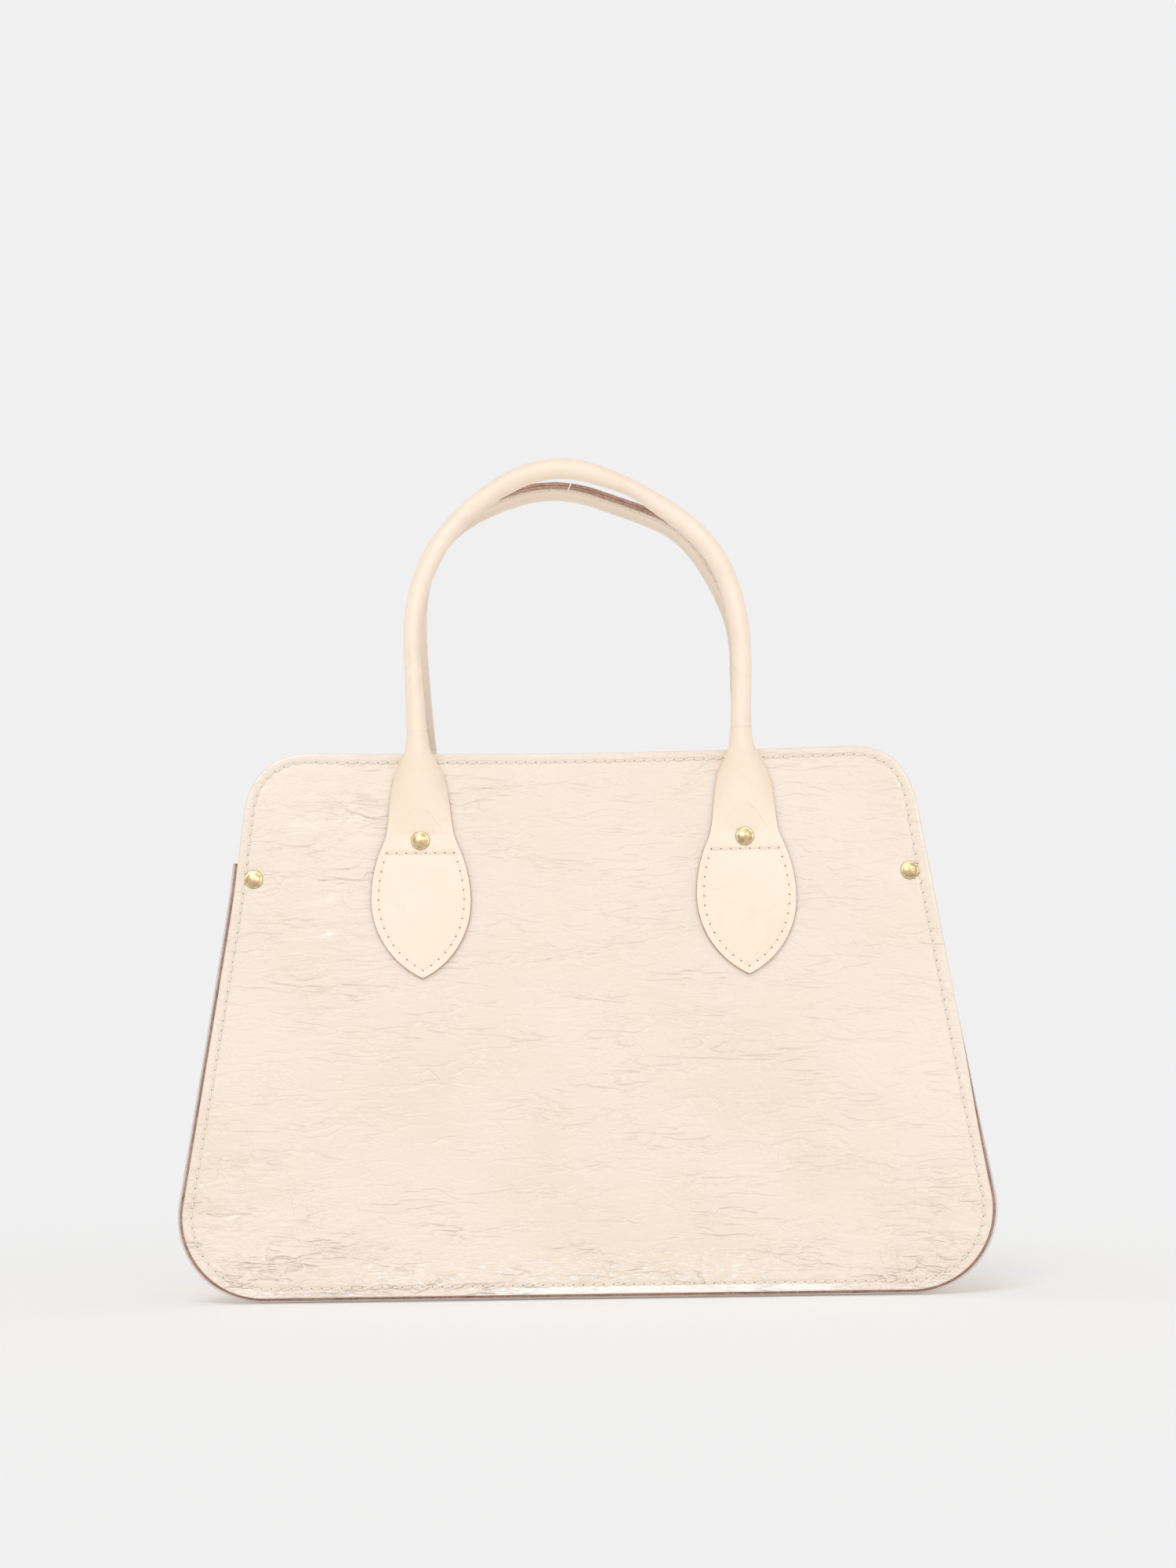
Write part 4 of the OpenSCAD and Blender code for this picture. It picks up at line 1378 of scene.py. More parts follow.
@dataclass(frozen=True)
class StripCut:
    """The handle strip: a roll between two leaf tabs."""

    roll_d: float = 9.0
    half_w: float = 14.0
    left_shoulder_r: float = 81.5
    left_shoulder_turn: float = 62.0
    crown_r: float = 42.5
    crown_turn: float = 48.0
    right_slope_turn: float = 28.0
    right_shoulder_r: float = 65.0
    leg_rise: float = 46.0
    keel_gap: float = 0.1
    clearance: float = 0.3
    tab_drop: float = 99.5
    tab_half_w: float = 21.7
    tab_tip_r: float = 38.0
    tab_shoulder_r: float = 60.0
    tab_neck_r: float = 29.0
    hinge_drop: float = 27.0
    leaf_inset: float = 3.2
    cross_drop: float = 44.4
    leaf_stitches: int = 14
    cross_stitches: int = 7
    keel_pitch: float = 4.2
    keel_inset: float = 1.6

    @property
    def mid_r(self) -> float:
        """Radius of the roll at the middle of its leather."""
        return self.roll_d / 2 - CUT.strip_t / 2

    @property
    def seam_angle(self) -> float:
        """Angle at the roll's centre between the keel's plane and the middle of one of its margins."""
        return math.asin((CUT.strip_t + self.keel_gap) / 2 / self.mid_r)

    @property
    def shut_angle(self) -> float:
        """Angle that each half of the roll wraps through."""
        return math.pi - self.seam_angle

    @property
    def keel_l(self) -> float:
        """Length of the margins that stand up as the keel."""
        return self.half_w - self.mid_r * self.shut_angle

    @property
    def axis_d(self) -> float:
        """Depth of the roll's axis in front of the panel's face."""
        return -(self.clearance + self.mid_r * math.cos(self.seam_angle) + self.keel_l)

    @property
    def tip_y(self) -> float:
        """Drop of the widest line of the leaf, on which the centres of its arcs lie."""
        return self.tab_drop - math.sqrt(self.tab_tip_r**2 - (self.tab_tip_r - self.tab_half_w) ** 2)

    @property
    def neck_turn(self) -> float:
        """Angle that the leaf's upper side turns through before the hollow of the neck."""
        both = self.tab_shoulder_r + self.tab_neck_r
        return math.acos((both - (self.tab_half_w - self.half_w)) / both)

    @property
    def neck_y(self) -> float:
        """Drop of the centre of the neck's hollow."""
        return self.tip_y - (self.tab_shoulder_r + self.tab_neck_r) * math.sin(self.neck_turn)

    @property
    def centres(self) -> tuple[float, float]:
        """Sideways places of the centres of the leaf's tip arc and side arc."""
        return self.tab_half_w - self.tab_tip_r, self.tab_half_w - self.tab_shoulder_r

    @property
    def row_radii(self) -> tuple[float, float]:
        """Radii of the leaf's stitch row at its tip and at its side."""
        return self.tab_tip_r - self.leaf_inset, self.tab_shoulder_r - self.leaf_inset

    @property
    def row_turn(self) -> float:
        """Angle of the tip arc that the stitch row runs through before it reaches the centre line."""
        return math.acos((self.tab_tip_r - self.tab_half_w) / (self.tab_tip_r - self.leaf_inset))

    @property
    def row_length(self) -> float:
        """Length of half of the leaf's stitch row, from the tip to the row across."""
        r_tip, r_side = self.row_radii
        return r_tip * self.row_turn + r_side * math.asin((self.tip_y - self.cross_drop) / r_side)

    @property
    def leaf_pitch(self) -> float:
        """Length of a stitch round the leaf."""
        return self.row_length / self.leaf_stitches

    @property
    def cross_end(self) -> float:
        """Half of the length of the row across the leaf."""
        return float(self.row_point(np.array(self.row_length))[0])

    @property
    def tail(self) -> float:
        """Length of the strip below a hinge line."""
        return self.tab_drop - self.hinge_drop

    @property
    def leg(self) -> float:
        """Length of a straight leg above its hinge line."""
        return self.hinge_drop + self.leg_rise

    @property
    def arch(self) -> tuple[Array, Array]:
        """Headings where the arch's four arcs meet, in radians, and the arcs' radii.

        The last arc turns through the rest of 180 degrees. An arc is r (cos(start) - cos(end)) wide, and the
        right slope's radius makes the four as wide as the span.
        """
        arcs = (self.left_shoulder_turn, self.crown_turn, self.right_slope_turn)
        turns = np.radians(np.cumsum([0, *arcs, 180 - sum(arcs)]))
        run = np.cos(turns[:-1]) - np.cos(turns[1:])
        radii = np.array([self.left_shoulder_r, self.crown_r, 0.0, self.right_shoulder_r])
        radii[2] = (CUT.handle_span - (radii * run).sum()) / run[2]
        return turns, radii

    @property
    def length(self) -> float:
        """Length of the strip from hinge line to hinge line."""
        turns, radii = self.arch
        return 2 * self.leg + float((radii * np.diff(turns)).sum())

    def from_hinge(self, w: Array) -> Array:
        """Distance along the strip to the nearer hinge line, below 0 on the tabs."""
        return np.minimum(w, self.length - w)

    def half_width(self, drop: Array) -> Array:
        """Half of the strip's width at a drop below the mouth: tip arc, side arc, neck hollow, straight."""

        def chord(r: float, centre: float) -> Array:
            """Half of an arc's chord there: sqrt(r^2 - (drop - centre)^2)."""
            return np.sqrt(np.clip(r**2 - (drop - centre) ** 2, 0, None))

        tip_x, side_x = self.centres
        tip, side = tip_x + chord(self.tab_tip_r, self.tip_y), side_x + chord(self.tab_shoulder_r, self.tip_y)
        neck = self.half_w + self.tab_neck_r - chord(self.tab_neck_r, self.neck_y)
        meet = self.tip_y - self.tab_shoulder_r * math.sin(self.neck_turn)
        width = np.where(drop > self.tip_y, tip, np.where(drop > meet, side, neck))
        return np.maximum(np.where(drop < self.neck_y, self.half_w, width), 0.05)

    def leaf_place(self, x: Array, drop: Array) -> tuple[Array, Array]:
        """Place of a point on the leaf's stitch row.

        Args:
            x: Distance from the leaf's centre line, signed.
            drop: Distance below the mouth.

        Returns:
            Distance along the row from the leaf's tip, signed as x, and distance inside the leaf's edge.
        """
        low = drop > self.tip_y
        centre, r_row = (np.where(low, *pair) for pair in (self.centres, self.row_radii))
        beside, above = np.abs(x) - centre, self.tip_y - drop
        along = r_row * np.arctan2(above, beside) + self.row_radii[0] * self.row_turn
        inset = r_row + self.leaf_inset - np.hypot(beside, above)
        return np.where(x < 0, -along, along), inset

    def row_point(self, along: Array) -> Array:
        """(x, drop) of a point of the leaf's stitch row, from its distance along it, signed as x."""
        past = np.abs(along) - self.row_radii[0] * self.row_turn
        centre, r = (np.where(past < 0, *pair) for pair in (self.centres, self.row_radii))
        x, drop = centre + r * np.cos(past / r), self.tip_y - r * np.sin(past / r)
        return together(np.sign(along) * x, drop)


STRIP = StripCut()


@dataclass
class Handle:
    """One handle: a single strip from leaf tab to leaf tab, with its stitches."""

    side: Side
    twist: float = 22.0
    keel_slant: float = 26.0
    cord_r: float = 2.6
    half_columns: int = 22
    front_bulges: tuple[tuple[float, float, float], ...] = (
        (103.0, 45.0, 1.95), (250.0, 20.0, 1.3), (290.0, 16.0, -0.8), (338.0, 18.0, -1.1),
    )
    rear_bulges: tuple[tuple[float, float, float], ...] = (
        (122.0, 38.0, 11.0), (60.0, 22.0, 1.8), (239.0, 24.0, 5.2), (285.0, 28.0, 2.4), (335.0, 30.0, 3.3),
    )
    curl_drops: tuple[float, ...] = (36.0, 26.5, 18.4, 10.3, 6.2, 0.0, -7.0, -12.0)
    curl_shares: tuple[float, ...] = (0.0, 0.2, 0.31, 0.44, 0.59, 0.85, 0.97, 1.0)
    leg_twist: float = 14.0
    front_squeezes: tuple[tuple[float, float, float], ...] = (
        (70.0, 34.0, 0.17), (128.0, 20.0, 0.07), (216.0, 14.0, 0.16), (330.0, 40.0, 0.05),
    )
    rear_squeezes: tuple[tuple[float, float, float], ...] = ((60.0, 40.0, 0.2), (185.0, 45.0, 0.08))
    path_step: float = 0.25
    soft_steps: int = 33
    section_steps: int = 240
    cord_steps: int = 190
    cord_sides: int = 20
    bend_length: float = 22.0

    def path(self, w: Array) -> tuple[Array, Array]:
        """Centre line of the strip in its own plane.

        The heading runs 0 up the left leg, over the arch's four arcs and 180 down the right leg, a little
        rounded where the arcs meet. The place is the running sum of (sin, cos) of the heading, pushed out of
        the arch by a sum of bell curves where the soft handle bulges, and the heading follows it.

        Args:
            w: Distance along the strip from the left hinge line.

        Returns:
            (x, s) of each place and the heading in radians.
        """
        turns, radii = STRIP.arch
        marks = STRIP.leg + np.concatenate([[0], np.cumsum(radii * np.diff(turns))])
        fine = np.arange(-STRIP.tail - 4, STRIP.length + STRIP.tail + 4, self.path_step)
        heading = np.pad(np.interp(fine, marks, turns), self.soft_steps // 2, mode="edge")
        soft = np.convolve(heading, np.ones(self.soft_steps) / self.soft_steps, "valid")
        x, s = np.cumsum([np.sin(soft), np.cos(soft)], 1) * self.path_step
        first, last = np.searchsorted(fine, (0.0, STRIP.length))
        share = np.clip(fine / STRIP.length, 0, 1)
        x = x - x[first] - CUT.handle_span / 2
        x = x + (CUT.handle_span / 2 - x[last]) * share
        s = s - s[first] + CUT.mouth_s - STRIP.hinge_drop
        s = s + (s[first] - s[last]) * share
        bulges = self.front_bulges if self.side is Side.FRONT else self.rear_bulges
        out = sum(height * bump(fine, at, spread) for at, spread, height in bulges)
        x, s = x - out * np.cos(soft), s + out * np.sin(soft)
        heading = np.unwrap(np.arctan2(np.gradient(x), np.gradient(s)))
        x, s, heading = (np.interp(w, fine, values) for values in (x, s, heading))
        return together(x, s), heading

    def rows(self) -> Array:
        """Distances along the strip of the mesh's rows, close together at the tips."""
        tip = np.array([0.02, 0.15, 0.4, 0.8, 1.3, 1.9]) - STRIP.tail
        left = np.concatenate([tip, np.linspace(2.6 - STRIP.tail, -4, 76), np.linspace(-3, 36, 52)])
        middle = np.linspace(37.5, STRIP.length - 37.5, 210)
        return np.concatenate([left, middle, STRIP.length - left[::-1]])

    def section(self, w: Array, u: Array) -> tuple[Array, Array, Array, Array, Array]:
        """Middle line of the strip's section.

        The heading turns evenly through the curl's angle over the body of the strip and turns back
        outwards into the keel over its margin. The place is the running sum of (cos, sin) of the heading.

        Args:
            w: Distances along the strip, (rows,).
            u: Shares of the half width, from 0 in the middle to 1 at the edge, (columns,).

        Returns:
            x, y, heading, half width and closure, the first three (rows, columns) and the others (rows, 1).
        """
        place, _ = self.path(w)
        drop = CUT.mouth_s - place[:, 1]
        drop = np.where(STRIP.from_hinge(w) > STRIP.hinge_drop + 20, -20, drop)
        half = STRIP.half_width(drop)[:, None]
        share = np.interp(-drop, [-k for k in self.curl_drops], self.curl_shares)[:, None]
        shut = ease((share - 0.6) / 0.4)
        margin = np.maximum(0.3, STRIP.keel_l * shut)
        angle = np.maximum(STRIP.shut_angle * share, 0.002)
        steps = self.section_steps
        fine = np.linspace(0, 1, steps + 1)[None, :] * half
        body = half - margin
        bend = (math.pi / 2 - STRIP.seam_angle) * shut
        heading = angle * np.minimum(fine, body) / body - bend * ease((fine - body + 0.35) / 0.7)
        step = np.diff(fine, axis=1)
        middle = (heading[:, 1:] + heading[:, :-1]) / 2
        x, y = (np.pad(np.cumsum(f(middle) * step, 1), ((0, 0), (1, 0))) for f in (np.cos, np.sin))
        wanted = (CUT.strip_t + STRIP.keel_gap) / 2
        x = x + (wanted - x[:, -1:]) * (fine / half) ** 3 * ease((share - 0.9) / 0.1)
        low = np.clip(np.floor(u * steps).astype(int), 0, steps - 1)
        f = (u * steps - low)[None, :]
        x, y, heading = (a[:, low] * (1 - f) + a[:, low + 1] * f for a in (x, y, heading))
        return x, y, heading, half, share

    def columns(self) -> Array:
        """Shares of the half width from edge to edge, close together at the edges."""
        t = np.linspace(0, 1, self.half_columns)
        half = 1 - (1 - t) * (1 - 0.25 * np.sin(math.pi * t))
        half = np.unique(np.round(np.concatenate([half, [0.975, 0.99, 0.997]]), 5))
        return np.concatenate([-half[:0:-1], half])

    def place(self, w: Array, x: Array, y: Array) -> Array:
        """Sets section points up at their stations in the bag's frame.

        The section turns about the roll's axis, by leg_twist on the legs and twist at the crown. Its x points
        out of the arch and its y into the bag. Where the soft roll is squeezed, x shrinks towards the front
        handle's outer side or the rear handle's inner one. The tabs take on all of the panel's drape, the
        bend at the hinge line less and less of it, and the roll above the mouth none.

        Args:
            w: Distances along the strip, (rows,).
            x: Sideways place in the section, (rows, columns).
            y: Depth in the section, 0 at the rearmost point that the strip may reach, (rows, columns).

        Returns:
            Bag points, (rows, columns, 3), in metres.
        """
        centre, heading = self.path(w)
        heading = heading[:, None]
        rolled = ease((STRIP.from_hinge(w) - 20) / 40)[:, None]
        k = np.radians(self.leg_twist + (self.twist - self.leg_twist) * np.sin(heading) ** 2) * rolled
        q = y - STRIP.axis_d
        slant = math.tan(math.radians(self.keel_slant)) * rolled
        front = self.side is Side.FRONT
        squeezes = self.front_squeezes if front else self.rear_squeezes
        squeeze = sum(share * bump(w, at, spread) for at, spread, share in squeezes)[:, None] * rolled
        x = x * (1 - squeeze) + (1 if front else -1) * STRIP.roll_d / 2 * squeeze
        q = q + x * slant * ease((q - STRIP.mid_r) / STRIP.keel_l)
        out = x * np.cos(k) + q * np.sin(k)
        px = centre[:, :1] - out * np.cos(heading)
        ps = centre[:, 1:] + out * np.sin(heading)
        d = STRIP.axis_d + q * np.cos(k) - x * np.sin(k)
        dx, ds = DRAPE.shift(px, np.minimum(ps, CUT.mouth_s), self.side)
        bulge = DRAPE.out(px, np.minimum(ps, CUT.mouth_s), self.side)
        share = 1 - ease((STRIP.from_hinge(w) - 2) / 45)[:, None]
        return to_bag(px + dx * share, d - bulge * share, ps + ds * share, self.side)

    def leaf_dome(self, x: Array, drop: Array, inset: Array) -> Array:
        """Height of the leaf's padding inside its stitch row, and of the channel that the row draws in."""
        inside = ease((inset - STRIP.leaf_inset) / 7) * ease((drop - STRIP.cross_drop) / 8)
        channel = bump(inset, STRIP.leaf_inset, 0.9) * (drop > STRIP.cross_drop - 0.5)
        across = bump(drop, STRIP.cross_drop, 0.9) * (np.abs(x) < 14.5)
        rivet = bump(np.hypot(x, drop - CUT.tab_rivet_drop), 0, 5.0)
        return 0.28 * inside - 0.16 * np.maximum(channel, across) - 0.22 * rivet

    def strip(self) -> Piece:
        """The leather strip, as one closed skin."""
        draft = Draft(maps=("cut", "seam", "cross"))
        w, u = self.rows(), self.columns()
        x, y, heading, half, share = self.section(w, np.abs(u))
        sign, across, margin = np.sign(u)[None, :], u[None, :] * half, (1 - np.abs(u)) * half
        drop = (CUT.mouth_s - self.path(w)[0][:, 1])[:, None] + 0 * x
        near = STRIP.from_hinge(w)[:, None]
        along, inset = STRIP.leaf_place(across, drop)
        edge = np.where((near < 0) & (drop > 41), inset, margin)
        thick = CUT.strip_t / 2 - rounding(edge, 0.4)
        dome = np.where(near < 0, self.leaf_dome(across, drop, inset), 0.0)
        creep = lattice_noise(w[:, None] / 2.6, u[None, :] * 3 + 7, 21) * 0.09 * ease((share - 0.7) / 0.3)
        proud = thick + dome + creep
        nx, ny = np.sin(heading) * sign, -np.cos(heading)
        grain_y, flesh_y = y + ny * proud, y - ny * thick
        rearmost = np.maximum(grain_y, flesh_y).max(1, keepdims=True)
        back = rearmost + STRIP.clearance * ease((near + 6) / 10) + AIR
        grain = self.place(w, x * sign + nx * proud, grain_y - back)
        flesh = self.place(w, x * sign - nx * thick, flesh_y - back)
        raw = np.concatenate([np.clip(1.25 * (1 - edge / 0.3), 0, 1) * 0.9, np.ones_like(edge)], 1)
        ids = draft.add_points(there_and_back(grain, flesh), raw=raw, creasing=0.5 + 0.5 * share)

        low = drop > STRIP.cross_drop - 1
        from_leaf, from_cross = inset - STRIP.leaf_inset, drop - STRIP.cross_drop
        far_leaf, far_cross = (FAR * np.where(a < 0, -1.0, 1.0) for a in (from_leaf, from_cross))
        count = np.where(low, along / STRIP.leaf_pitch, w[:, None] / STRIP.keel_pitch)
        away = np.where(low, from_leaf, np.where(share < 0.97, far_leaf, margin - STRIP.keel_inset))
        beyond = far_cross * (np.abs(across) > STRIP.cross_end + 0.9)
        turn = across * STRIP.cross_stitches / (2 * STRIP.cross_end) + 0.5
        seam, cross = (
            closed(np.concatenate([m, np.full_like(m, FAR)], 1))
            for m in (together(count, away), together(turn, from_cross + beyond))
        )
        cut = together(w[:, None], across) * MM
        draft.add_skin(ids, cut=closed(there_and_back(cut, cut)), seam=seam, cross=cross)
        return draft.build(f"{self.side.value}_handle_strip")

    def tab_ground(self, x: Array, drop: Array, hand: int) -> Array:
        """Points of a leaf's face, in the bag's frame.

        Args:
            x: Distance from the leaf's centre line, outwards of the arch.
            drop: Distance below the mouth.
            hand: -1 for the left leaf and 1 for the right one.

        Returns:
            The points, in metres.
        """
        inset = STRIP.leaf_place(x, drop)[1]
        d = -CUT.strip_t - AIR - self.leaf_dome(x, drop, inset)
        return hang(hand * (CUT.handle_span / 2 + x), d, CUT.mouth_s - drop, self.side)

    def tab_stitches(self) -> Piece:
        """The row round each leaf and the row across it."""
        draft = Draft(maps=("run",), marks=())
        out, count = face_normal(self.side), STRIP.cross_stitches
        row = STRIP.row_point(THREAD.row(-STRIP.leaf_stitches, STRIP.leaf_stitches) * STRIP.leaf_pitch)
        x = (2 * THREAD.row(0, count) / count - 1) * STRIP.cross_end
        for hand in (-1, 1):
            ground = self.tab_ground(row[..., 0], row[..., 1], hand)
            THREAD.sew(draft, ground, out, 80 + hand, slant=0.12, proud=-0.3)
            ground = self.tab_ground(hand * x, np.full_like(x, STRIP.cross_drop), hand)
            THREAD.sew(draft, ground, out, 84 + hand)
        return draft.build(f"{self.side.value}_tab_stitches")

    def keel_stitches(self) -> Piece:
        """The row through the keel, on both of its sides, and at the rear a loose thread over its edge."""
        draft = Draft(maps=("run",), marks=())
        start = STRIP.hinge_drop + 5
        count = int((STRIP.length - 2 * start) / STRIP.keel_pitch)
        first = math.ceil(start / STRIP.keel_pitch) * STRIP.keel_pitch
        w = (first + THREAD.row(0, count) * STRIP.keel_pitch).ravel()
        x, y, heading, _, _ = self.section(w, np.array([1 - STRIP.keel_inset / STRIP.half_w]))
        back = self.section(w, np.array([1.0]))[1] + STRIP.clearance + AIR
        lean = np.clip(heading, 0, math.pi)
        gx, gy = x + np.sin(lean) * CUT.strip_t / 2, y - np.cos(lean) * CUT.strip_t / 2 - back
        for hand in (-1, 1):
            ground, above = (self.place(w, hand * (gx + up), gy).reshape(count, -1, 3) for up in (0, 1))
            THREAD.sew(draft, ground, unit(above - ground), 90 + hand, slant=0.2)
        if self.side is Side.REAR:
            self.over_stitch(draft, 185.5)
        return draft.build(f"{self.side.value}_keel_stitches")

    def over_stitch(self, draft: Draft, w: float) -> None:
        """Adds a thread that crosses the keel's raw edge, down to the stitch row on both sides."""
        t = np.linspace(-1, 1, 13)
        along = w + 0.9 * t
        across = (CUT.strip_t + 0.3) * np.clip(1.7 * t, -1, 1)[:, None]
        y = -STRIP.clearance + 0.22 - STRIP.keel_inset * ease((np.abs(t) - 0.5) / 0.5)[:, None]
        path, above = self.place(along, across, y)[:, 0], self.place(along, across * 1.6, y + 1)[:, 0]
        THREAD.lay(draft, path[None], unit(above - path)[None], THREAD.radius * MM)

    def cord(self) -> Piece:
        """The cord that fills the roll: rings of its own radius about the roll's axis, closed at the ends."""
        draft = Draft(marks=())
        start = STRIP.hinge_drop + 8
        w, turn = np.linspace(start, STRIP.length - start, self.cord_steps), circle(self.cord_sides)
        radius = np.full((len(w), 1), self.cord_r)
        radius[[0, -1]] *= 0.8
        x, y = radius * np.cos(turn), radius * np.sin(turn) + STRIP.axis_d
        axis = self.place(w, 0 * radius, 0 * radius + STRIP.axis_d)[:, 0]
        draft.add_rod(draft.add_points(self.place(w, x, y)), axis[0], axis[-1])
        return draft.build(f"{self.side.value}_handle_core")

    def build(self, finishes: Finishes) -> None:
        """Makes and dresses the strip, its stitches and its cord; the strip and the keel stitches are set on
        no body.
        """
        name, body = self.side.value, self.side.handle_body
        nodes = (f"{name}_left_tab", f"{name}_right_tab", f"{name}_handle_cover")
        strip = dress(self.strip(), finishes.strip, "smooth_leather", *nodes, on=None)
        keel = dress(self.keel_stitches(), finishes.thread, "cotton_cord", on=None)
        for piece in (strip, keel):
            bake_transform(piece)
        dress(self.tab_stitches(), finishes.thread, "cotton_cord")
        dress(self.cord(), finishes.cord, "cotton_cord", f"{name}_handle_cord", on=body)


@dataclass(frozen=True)
class Lathe:
    """A turned part: a profile of (radius, height) pairs spun about its axis."""

    profile: tuple[tuple[float, float], ...]
    segments: int = 48

    def turn(self, draft: Draft, centre: Array, axis: Array) -> None:
        """Adds the turned part to a draft.

        A point is centre + height * axis + radius * (cos(a) u + sin(a) v), with u and v square to the axis.
        The profile starts and ends on the axis, where a fan closes it.

        Args:
            draft: The piece that takes it.
            centre: Where height 0 lies, in metres.
            axis: Direction in which the heights grow.
        """
        axis = unit(np.asarray(axis, float))
        u = unit(np.cross(axis, [0.0, 0.3, 1.0]))
        v = np.cross(axis, u)
        inner = np.array(self.profile[1:-1])
        turn = circle(self.segments)
        ring = np.cos(turn)[:, None] * u + np.sin(turn)[:, None] * v
        points = centre + MM * (inner[:, 1, None, None] * axis + inner[:, 0, None, None] * ring[None])
        start, end = (centre + MM * self.profile[k][1] * axis for k in (0, -1))
        draft.add_rod(draft.add_points(points), start, end)


def dome_profile(radius: float, height: float, seat: float) -> tuple[tuple[float, float], ...]:
    """Profile of a domed rivet cap: a flat seat, a rolled rim and a low dome that rises as a parabola.

    Args:
        radius: Radius of the cap.
        height: Its height over the seat.
        seat: How far the seat sinks below height 0.

    Returns:
        (radius, height) pairs from the axis under the cap to the axis on its top.
    """
    rim = height * 0.5
    turn = np.linspace(-math.pi / 2, math.pi * 0.45, 8)
    bead = [(radius - rim / 2 + rim / 2 * math.cos(a), rim / 2 + rim / 2 * math.sin(a)) for a in turn]
    edge_r, edge_h = bead[-1][0] - 0.16, bead[-1][1] - 0.04
    dome = [(edge_r * t, height - (height - edge_h) * t**2) for t in np.linspace(1, 0, 9)[:-1]]
    return ((0.0, -seat), (radius - rim / 2, -seat), *bead, *dome, (0.0, height))


@dataclass
class Hardware:
    """The rivets and the magnetic snap."""

    cap_h: float = 1.6
    back_cap_h: float = 1.3
    snap_r: float = 8.5

    def rivet_places(self, side: Side) -> list[tuple[str, float, float, float, float]]:
        """(kind, x, s, depth of the face, depth of the back) of the four rivets on a side."""
        tab = (CUT.handle_span / 2, CUT.mouth_s - CUT.tab_rivet_drop, -CUT.strip_t + 0.19, CUT.stack_t)
        beside = (*CUT.side_rivet(), LEATHER.rivet_dent, CUT.seam_t)
        kinds = (("tab", tab), ("side", beside))
        return [(kind, hand * x, *rest) for kind, (x, *rest) in kinds for hand in (-1, 1)]

    def build(self, finishes: Finishes) -> None:
        """Makes and dresses caps, shanks with their inner caps, and the snap's two halves."""
        drafts = {(k, part): Draft(marks=()) for k in ("tab", "side") for part in ("caps", "shanks")}
        cap = Lathe(dome_profile(CUT.cap_d / 2, self.cap_h, 0.25))
        inner = dome_profile(CUT.back_cap_d / 2, self.back_cap_h, 0.0)[1:]
        for side in Side:
            out = face_normal(side)
            for kind, x, s, face_d, back_d in self.rivet_places(side):
                cap.turn(drafts[kind, "caps"], hang(x, face_d, s, side), out)
                length = (back_d - face_d) - 0.4
                shank = ((0.0, -length), (CUT.shank_d / 2, -length), (CUT.shank_d / 2, -0.01), *inner)
                Lathe(shank, 32).turn(drafts[kind, "shanks"], hang(x, back_d, s, side), -out)
        ends = {"caps": "domes", "shanks": "backs"}
        for (kind, part), draft in drafts.items():
            dress(draft.build(f"{kind}_rivet_{ends[part]}"), finishes.brass, "brass", f"{kind}_rivet_{part}")
        self.snap(finishes)

    def snap(self, finishes: Finishes) -> None:
        """The snap's nub half in front and its socket half behind."""
        r = self.snap_r
        foot = ((0.0, -1.2), (2.0, -1.2), (2.0, 0.0), (r - 0.3, 0.0), (r, 0.3))
        groove = ((5.2, 1.8), (4.9, 1.55), (4.3, 1.55), (4.0, 1.8))
        nub = (*foot, (r, 1.2), (r - 0.5, 1.75), *groove, (4.0, 3.6), (3.6, 4.0), (0.0, 4.0))
        socket = (*foot, (r, 2.9), (r - 0.6, 3.6), (4.8, 3.6), (4.3, 3.2), (4.3, 1.3), (0.0, 1.1))
        s = CUT.mouth_s - CUT.snap_drop
        for side, name, profile in ((Side.FRONT, "snap_nub", nub), (Side.REAR, "snap_socket", socket)):
            draft = Draft(marks=())
            Lathe(profile, 56).turn(draft, hang(0.0, CUT.stack_t - 0.05, s, side), -face_normal(side))
            dress(draft.build(f"{name}_half"), finishes.brass, "brass", name)


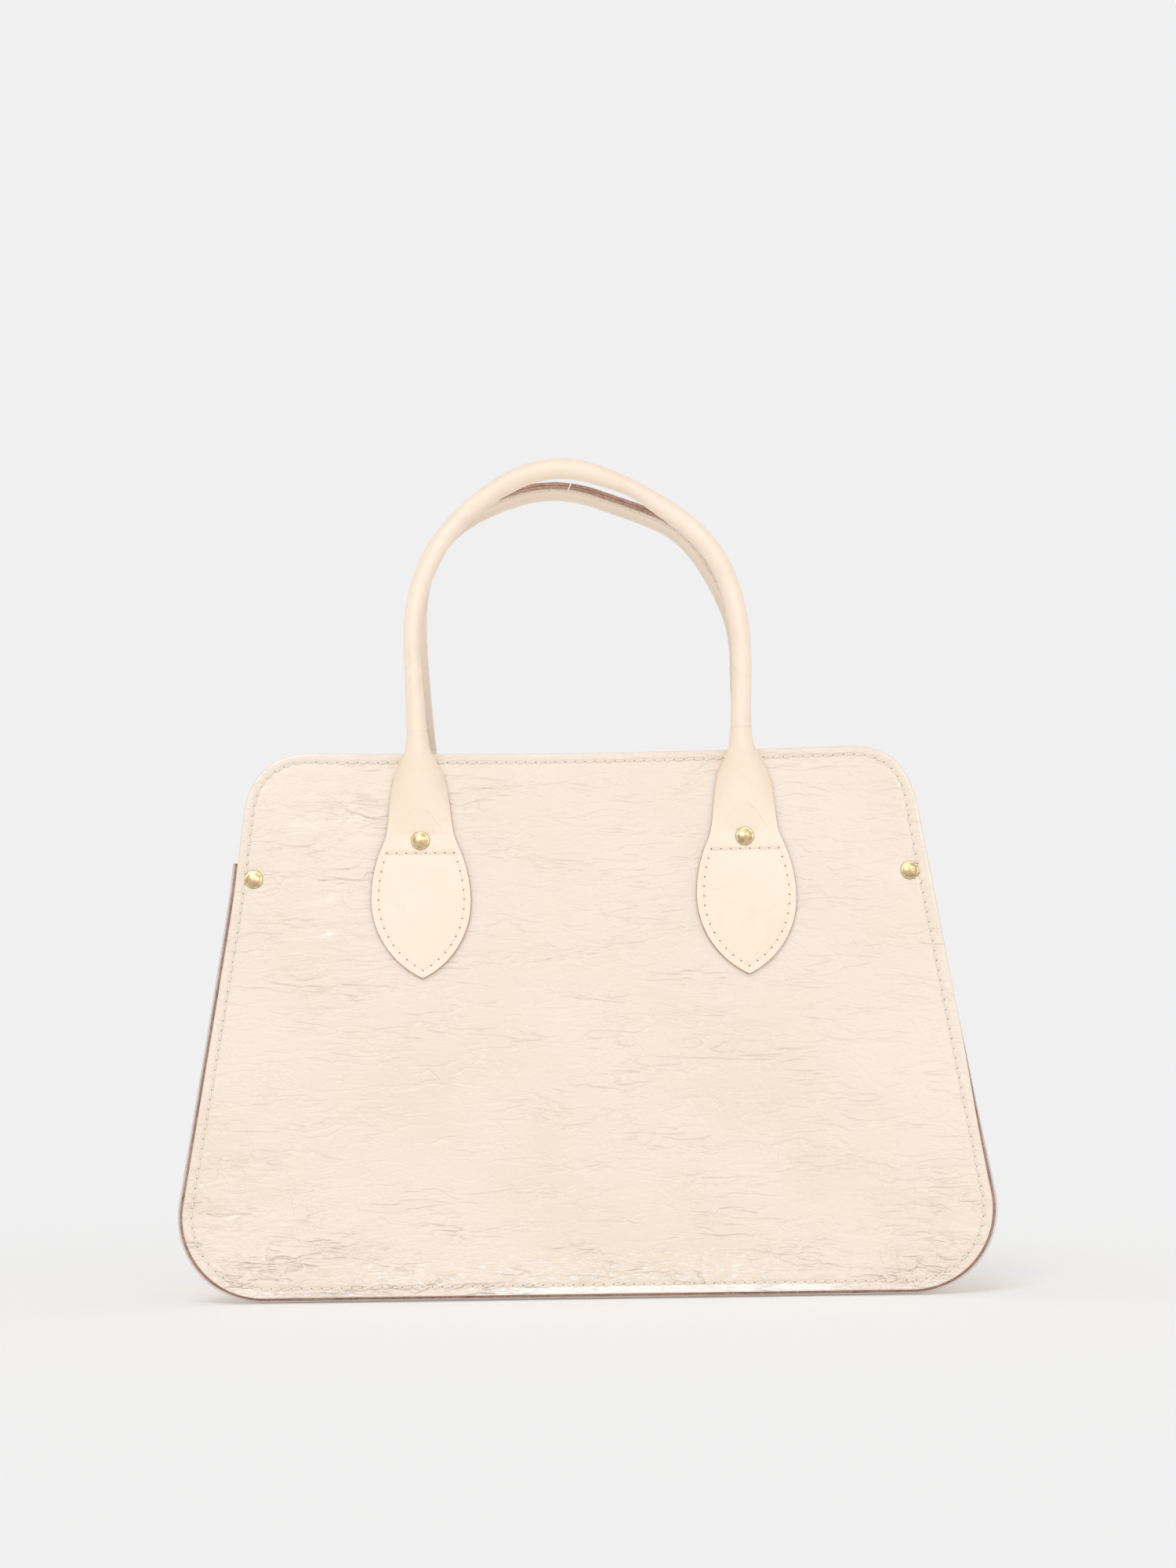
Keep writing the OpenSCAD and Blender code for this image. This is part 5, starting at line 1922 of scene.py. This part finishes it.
@dataclass
class Studio:
    """Camera, floor and light."""

    distance: float = 1.35
    height: float = 0.110
    focal_px: float = 4030.0
    image_px: tuple[int, int] = (1500, 2000)
    horizon_px: float = 1329.5
    centre_px: float = 745.6
    swing_deg: float = 0.2
    roll_deg: float = -0.83
    ground: tuple = srgb(240, 240, 240)
    white: tuple = (1.0, 1.0, 1.0, 1.0)
    floor_half: float = 60.0
    floor_lift: float = 0.064
    bounce: float = 0.2
    all_round: float = 0.7

    def camera(self) -> None:
        """A level camera in front of the bag, swung a little to its right, framed by shift alone."""
        data = bpy.data.cameras.new("camera")
        data.sensor_width = 36.0
        data.lens = self.focal_px * 36.0 / self.image_px[1]
        data.shift_x = (self.image_px[0] / 2 - self.centre_px) / self.image_px[1]
        data.shift_y = (self.horizon_px - self.image_px[1] / 2) / self.image_px[1]
        data.clip_start, data.clip_end = 0.01, 100.0
        camera = link("camera", data)
        pivot = Vector((0.0, -CUT.base_depth / 2 * MM, self.height))
        swing = Matrix.Rotation(math.radians(self.swing_deg), 4, "Z")
        place = Matrix.Translation(pivot) @ swing @ Matrix.Translation((0.0, -self.distance, 0.0))
        upright = Matrix.Rotation(math.radians(90), 4, "X")
        camera.matrix_world = place @ upright @ Matrix.Rotation(math.radians(self.roll_deg), 4, "Z")
        bpy.context.scene.camera = camera

    def floor(self) -> None:
        """A wide pale floor that keeps the bag's shadow."""
        x, y = np.meshgrid(*[np.linspace(-self.floor_half, self.floor_half, 3)] * 2)
        draft = Draft(marks=())
        draft.add_grid(draft.add_points(together(x, y, 0.0)))
        floor = draft.build("floor", smooth=False)
        skin = Skin("pale_floor")
        seen = skin.put("LightPath").outputs["Is Camera Ray"]
        lift = skin.times(seen, self.floor_lift - self.bounce, self.bounce)
        skin.feed(skin.shader, {
            "Base Color": srgb(249, 249, 249), "Roughness": 1.0, "Specular IOR Level": 0.0,
            "Emission Strength": lift, "Emission Color": self.white,
        })
        cover(floor, skin.material)

    def light(self) -> None:
        """Even light from all round, two broad, soft suns from the front, and two that only gleam."""
        world = bpy.data.worlds.new("studio")
        bpy.context.scene.world = world
        world.use_nodes = True
        world.node_tree.nodes.clear()
        sheet = Sheet(world.node_tree)
        path = sheet.put("LightPath")
        seen = sheet.math("MAXIMUM", path.outputs["Is Camera Ray"], path.outputs["Is Glossy Ray"])
        seen = sheet.math("MAXIMUM", seen, path.outputs["Is Transmission Ray"])
        lit = sheet.put("Background", {"Color": self.white, "Strength": self.all_round})
        shown = sheet.put("Background", {"Color": self.ground, "Strength": 1.0})
        both = sheet.put("MixShader", {0: seen, 1: lit.outputs[0], 2: shown.outputs[0]})
        sheet.put("OutputWorld", {"Surface": both.outputs[0]})
        for name, azimuth, elevation, strength, angle, lights_all in (
            ("key", -18.0, 52.0, 0.56, 26.0, True),
            ("fill", 34.0, 10.0, 0.2, 50.0, True),
            ("left_gleam", -16.0, 29.0, 0.75, 20.0, False),
            ("right_gleam", 20.0, 24.0, 0.6, 18.0, False),
        ):
            data = bpy.data.lights.new(name, "SUN")
            data.energy = strength
            data.angle = math.radians(angle)
            lamp = link(name, data)
            a, e = math.radians(azimuth), math.radians(elevation)
            back = Vector((math.sin(a) * math.cos(e), -math.cos(a) * math.cos(e), math.sin(e)))
            lamp.rotation_mode = "QUATERNION"
            lamp.rotation_quaternion = (-back).to_track_quat("-Z", "Y")
            lamp.location = back * 2
            lamp.visible_diffuse = lights_all

    def build(self) -> None:
        """Sets the whole stage."""
        self.camera()
        self.floor()
        self.light()
        bpy.context.scene.view_settings.view_transform = "Standard"


def dress_nodes(finishes: Finishes) -> None:
    """Gives the nodes that stay visible their finishes."""
    for name, material in (("base_board", finishes.board), ("snap_plates", finishes.brass)):
        cover(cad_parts[name], material)
        log.info("%s: kept", name)


def main() -> None:
    """Builds the bag, piece by piece."""
    logging.basicConfig(level=logging.INFO, format="%(name)s %(message)s")
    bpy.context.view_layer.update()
    Studio().build()
    finishes = Finishes.make(Effects.make())
    for side in Side:
        PanelSide(side).build(finishes)
        Handle(side).build(finishes)
    Gusset().build(finishes)
    Hardware().build(finishes)
    dress_nodes(finishes)


if __name__ == "__main__":
    main()
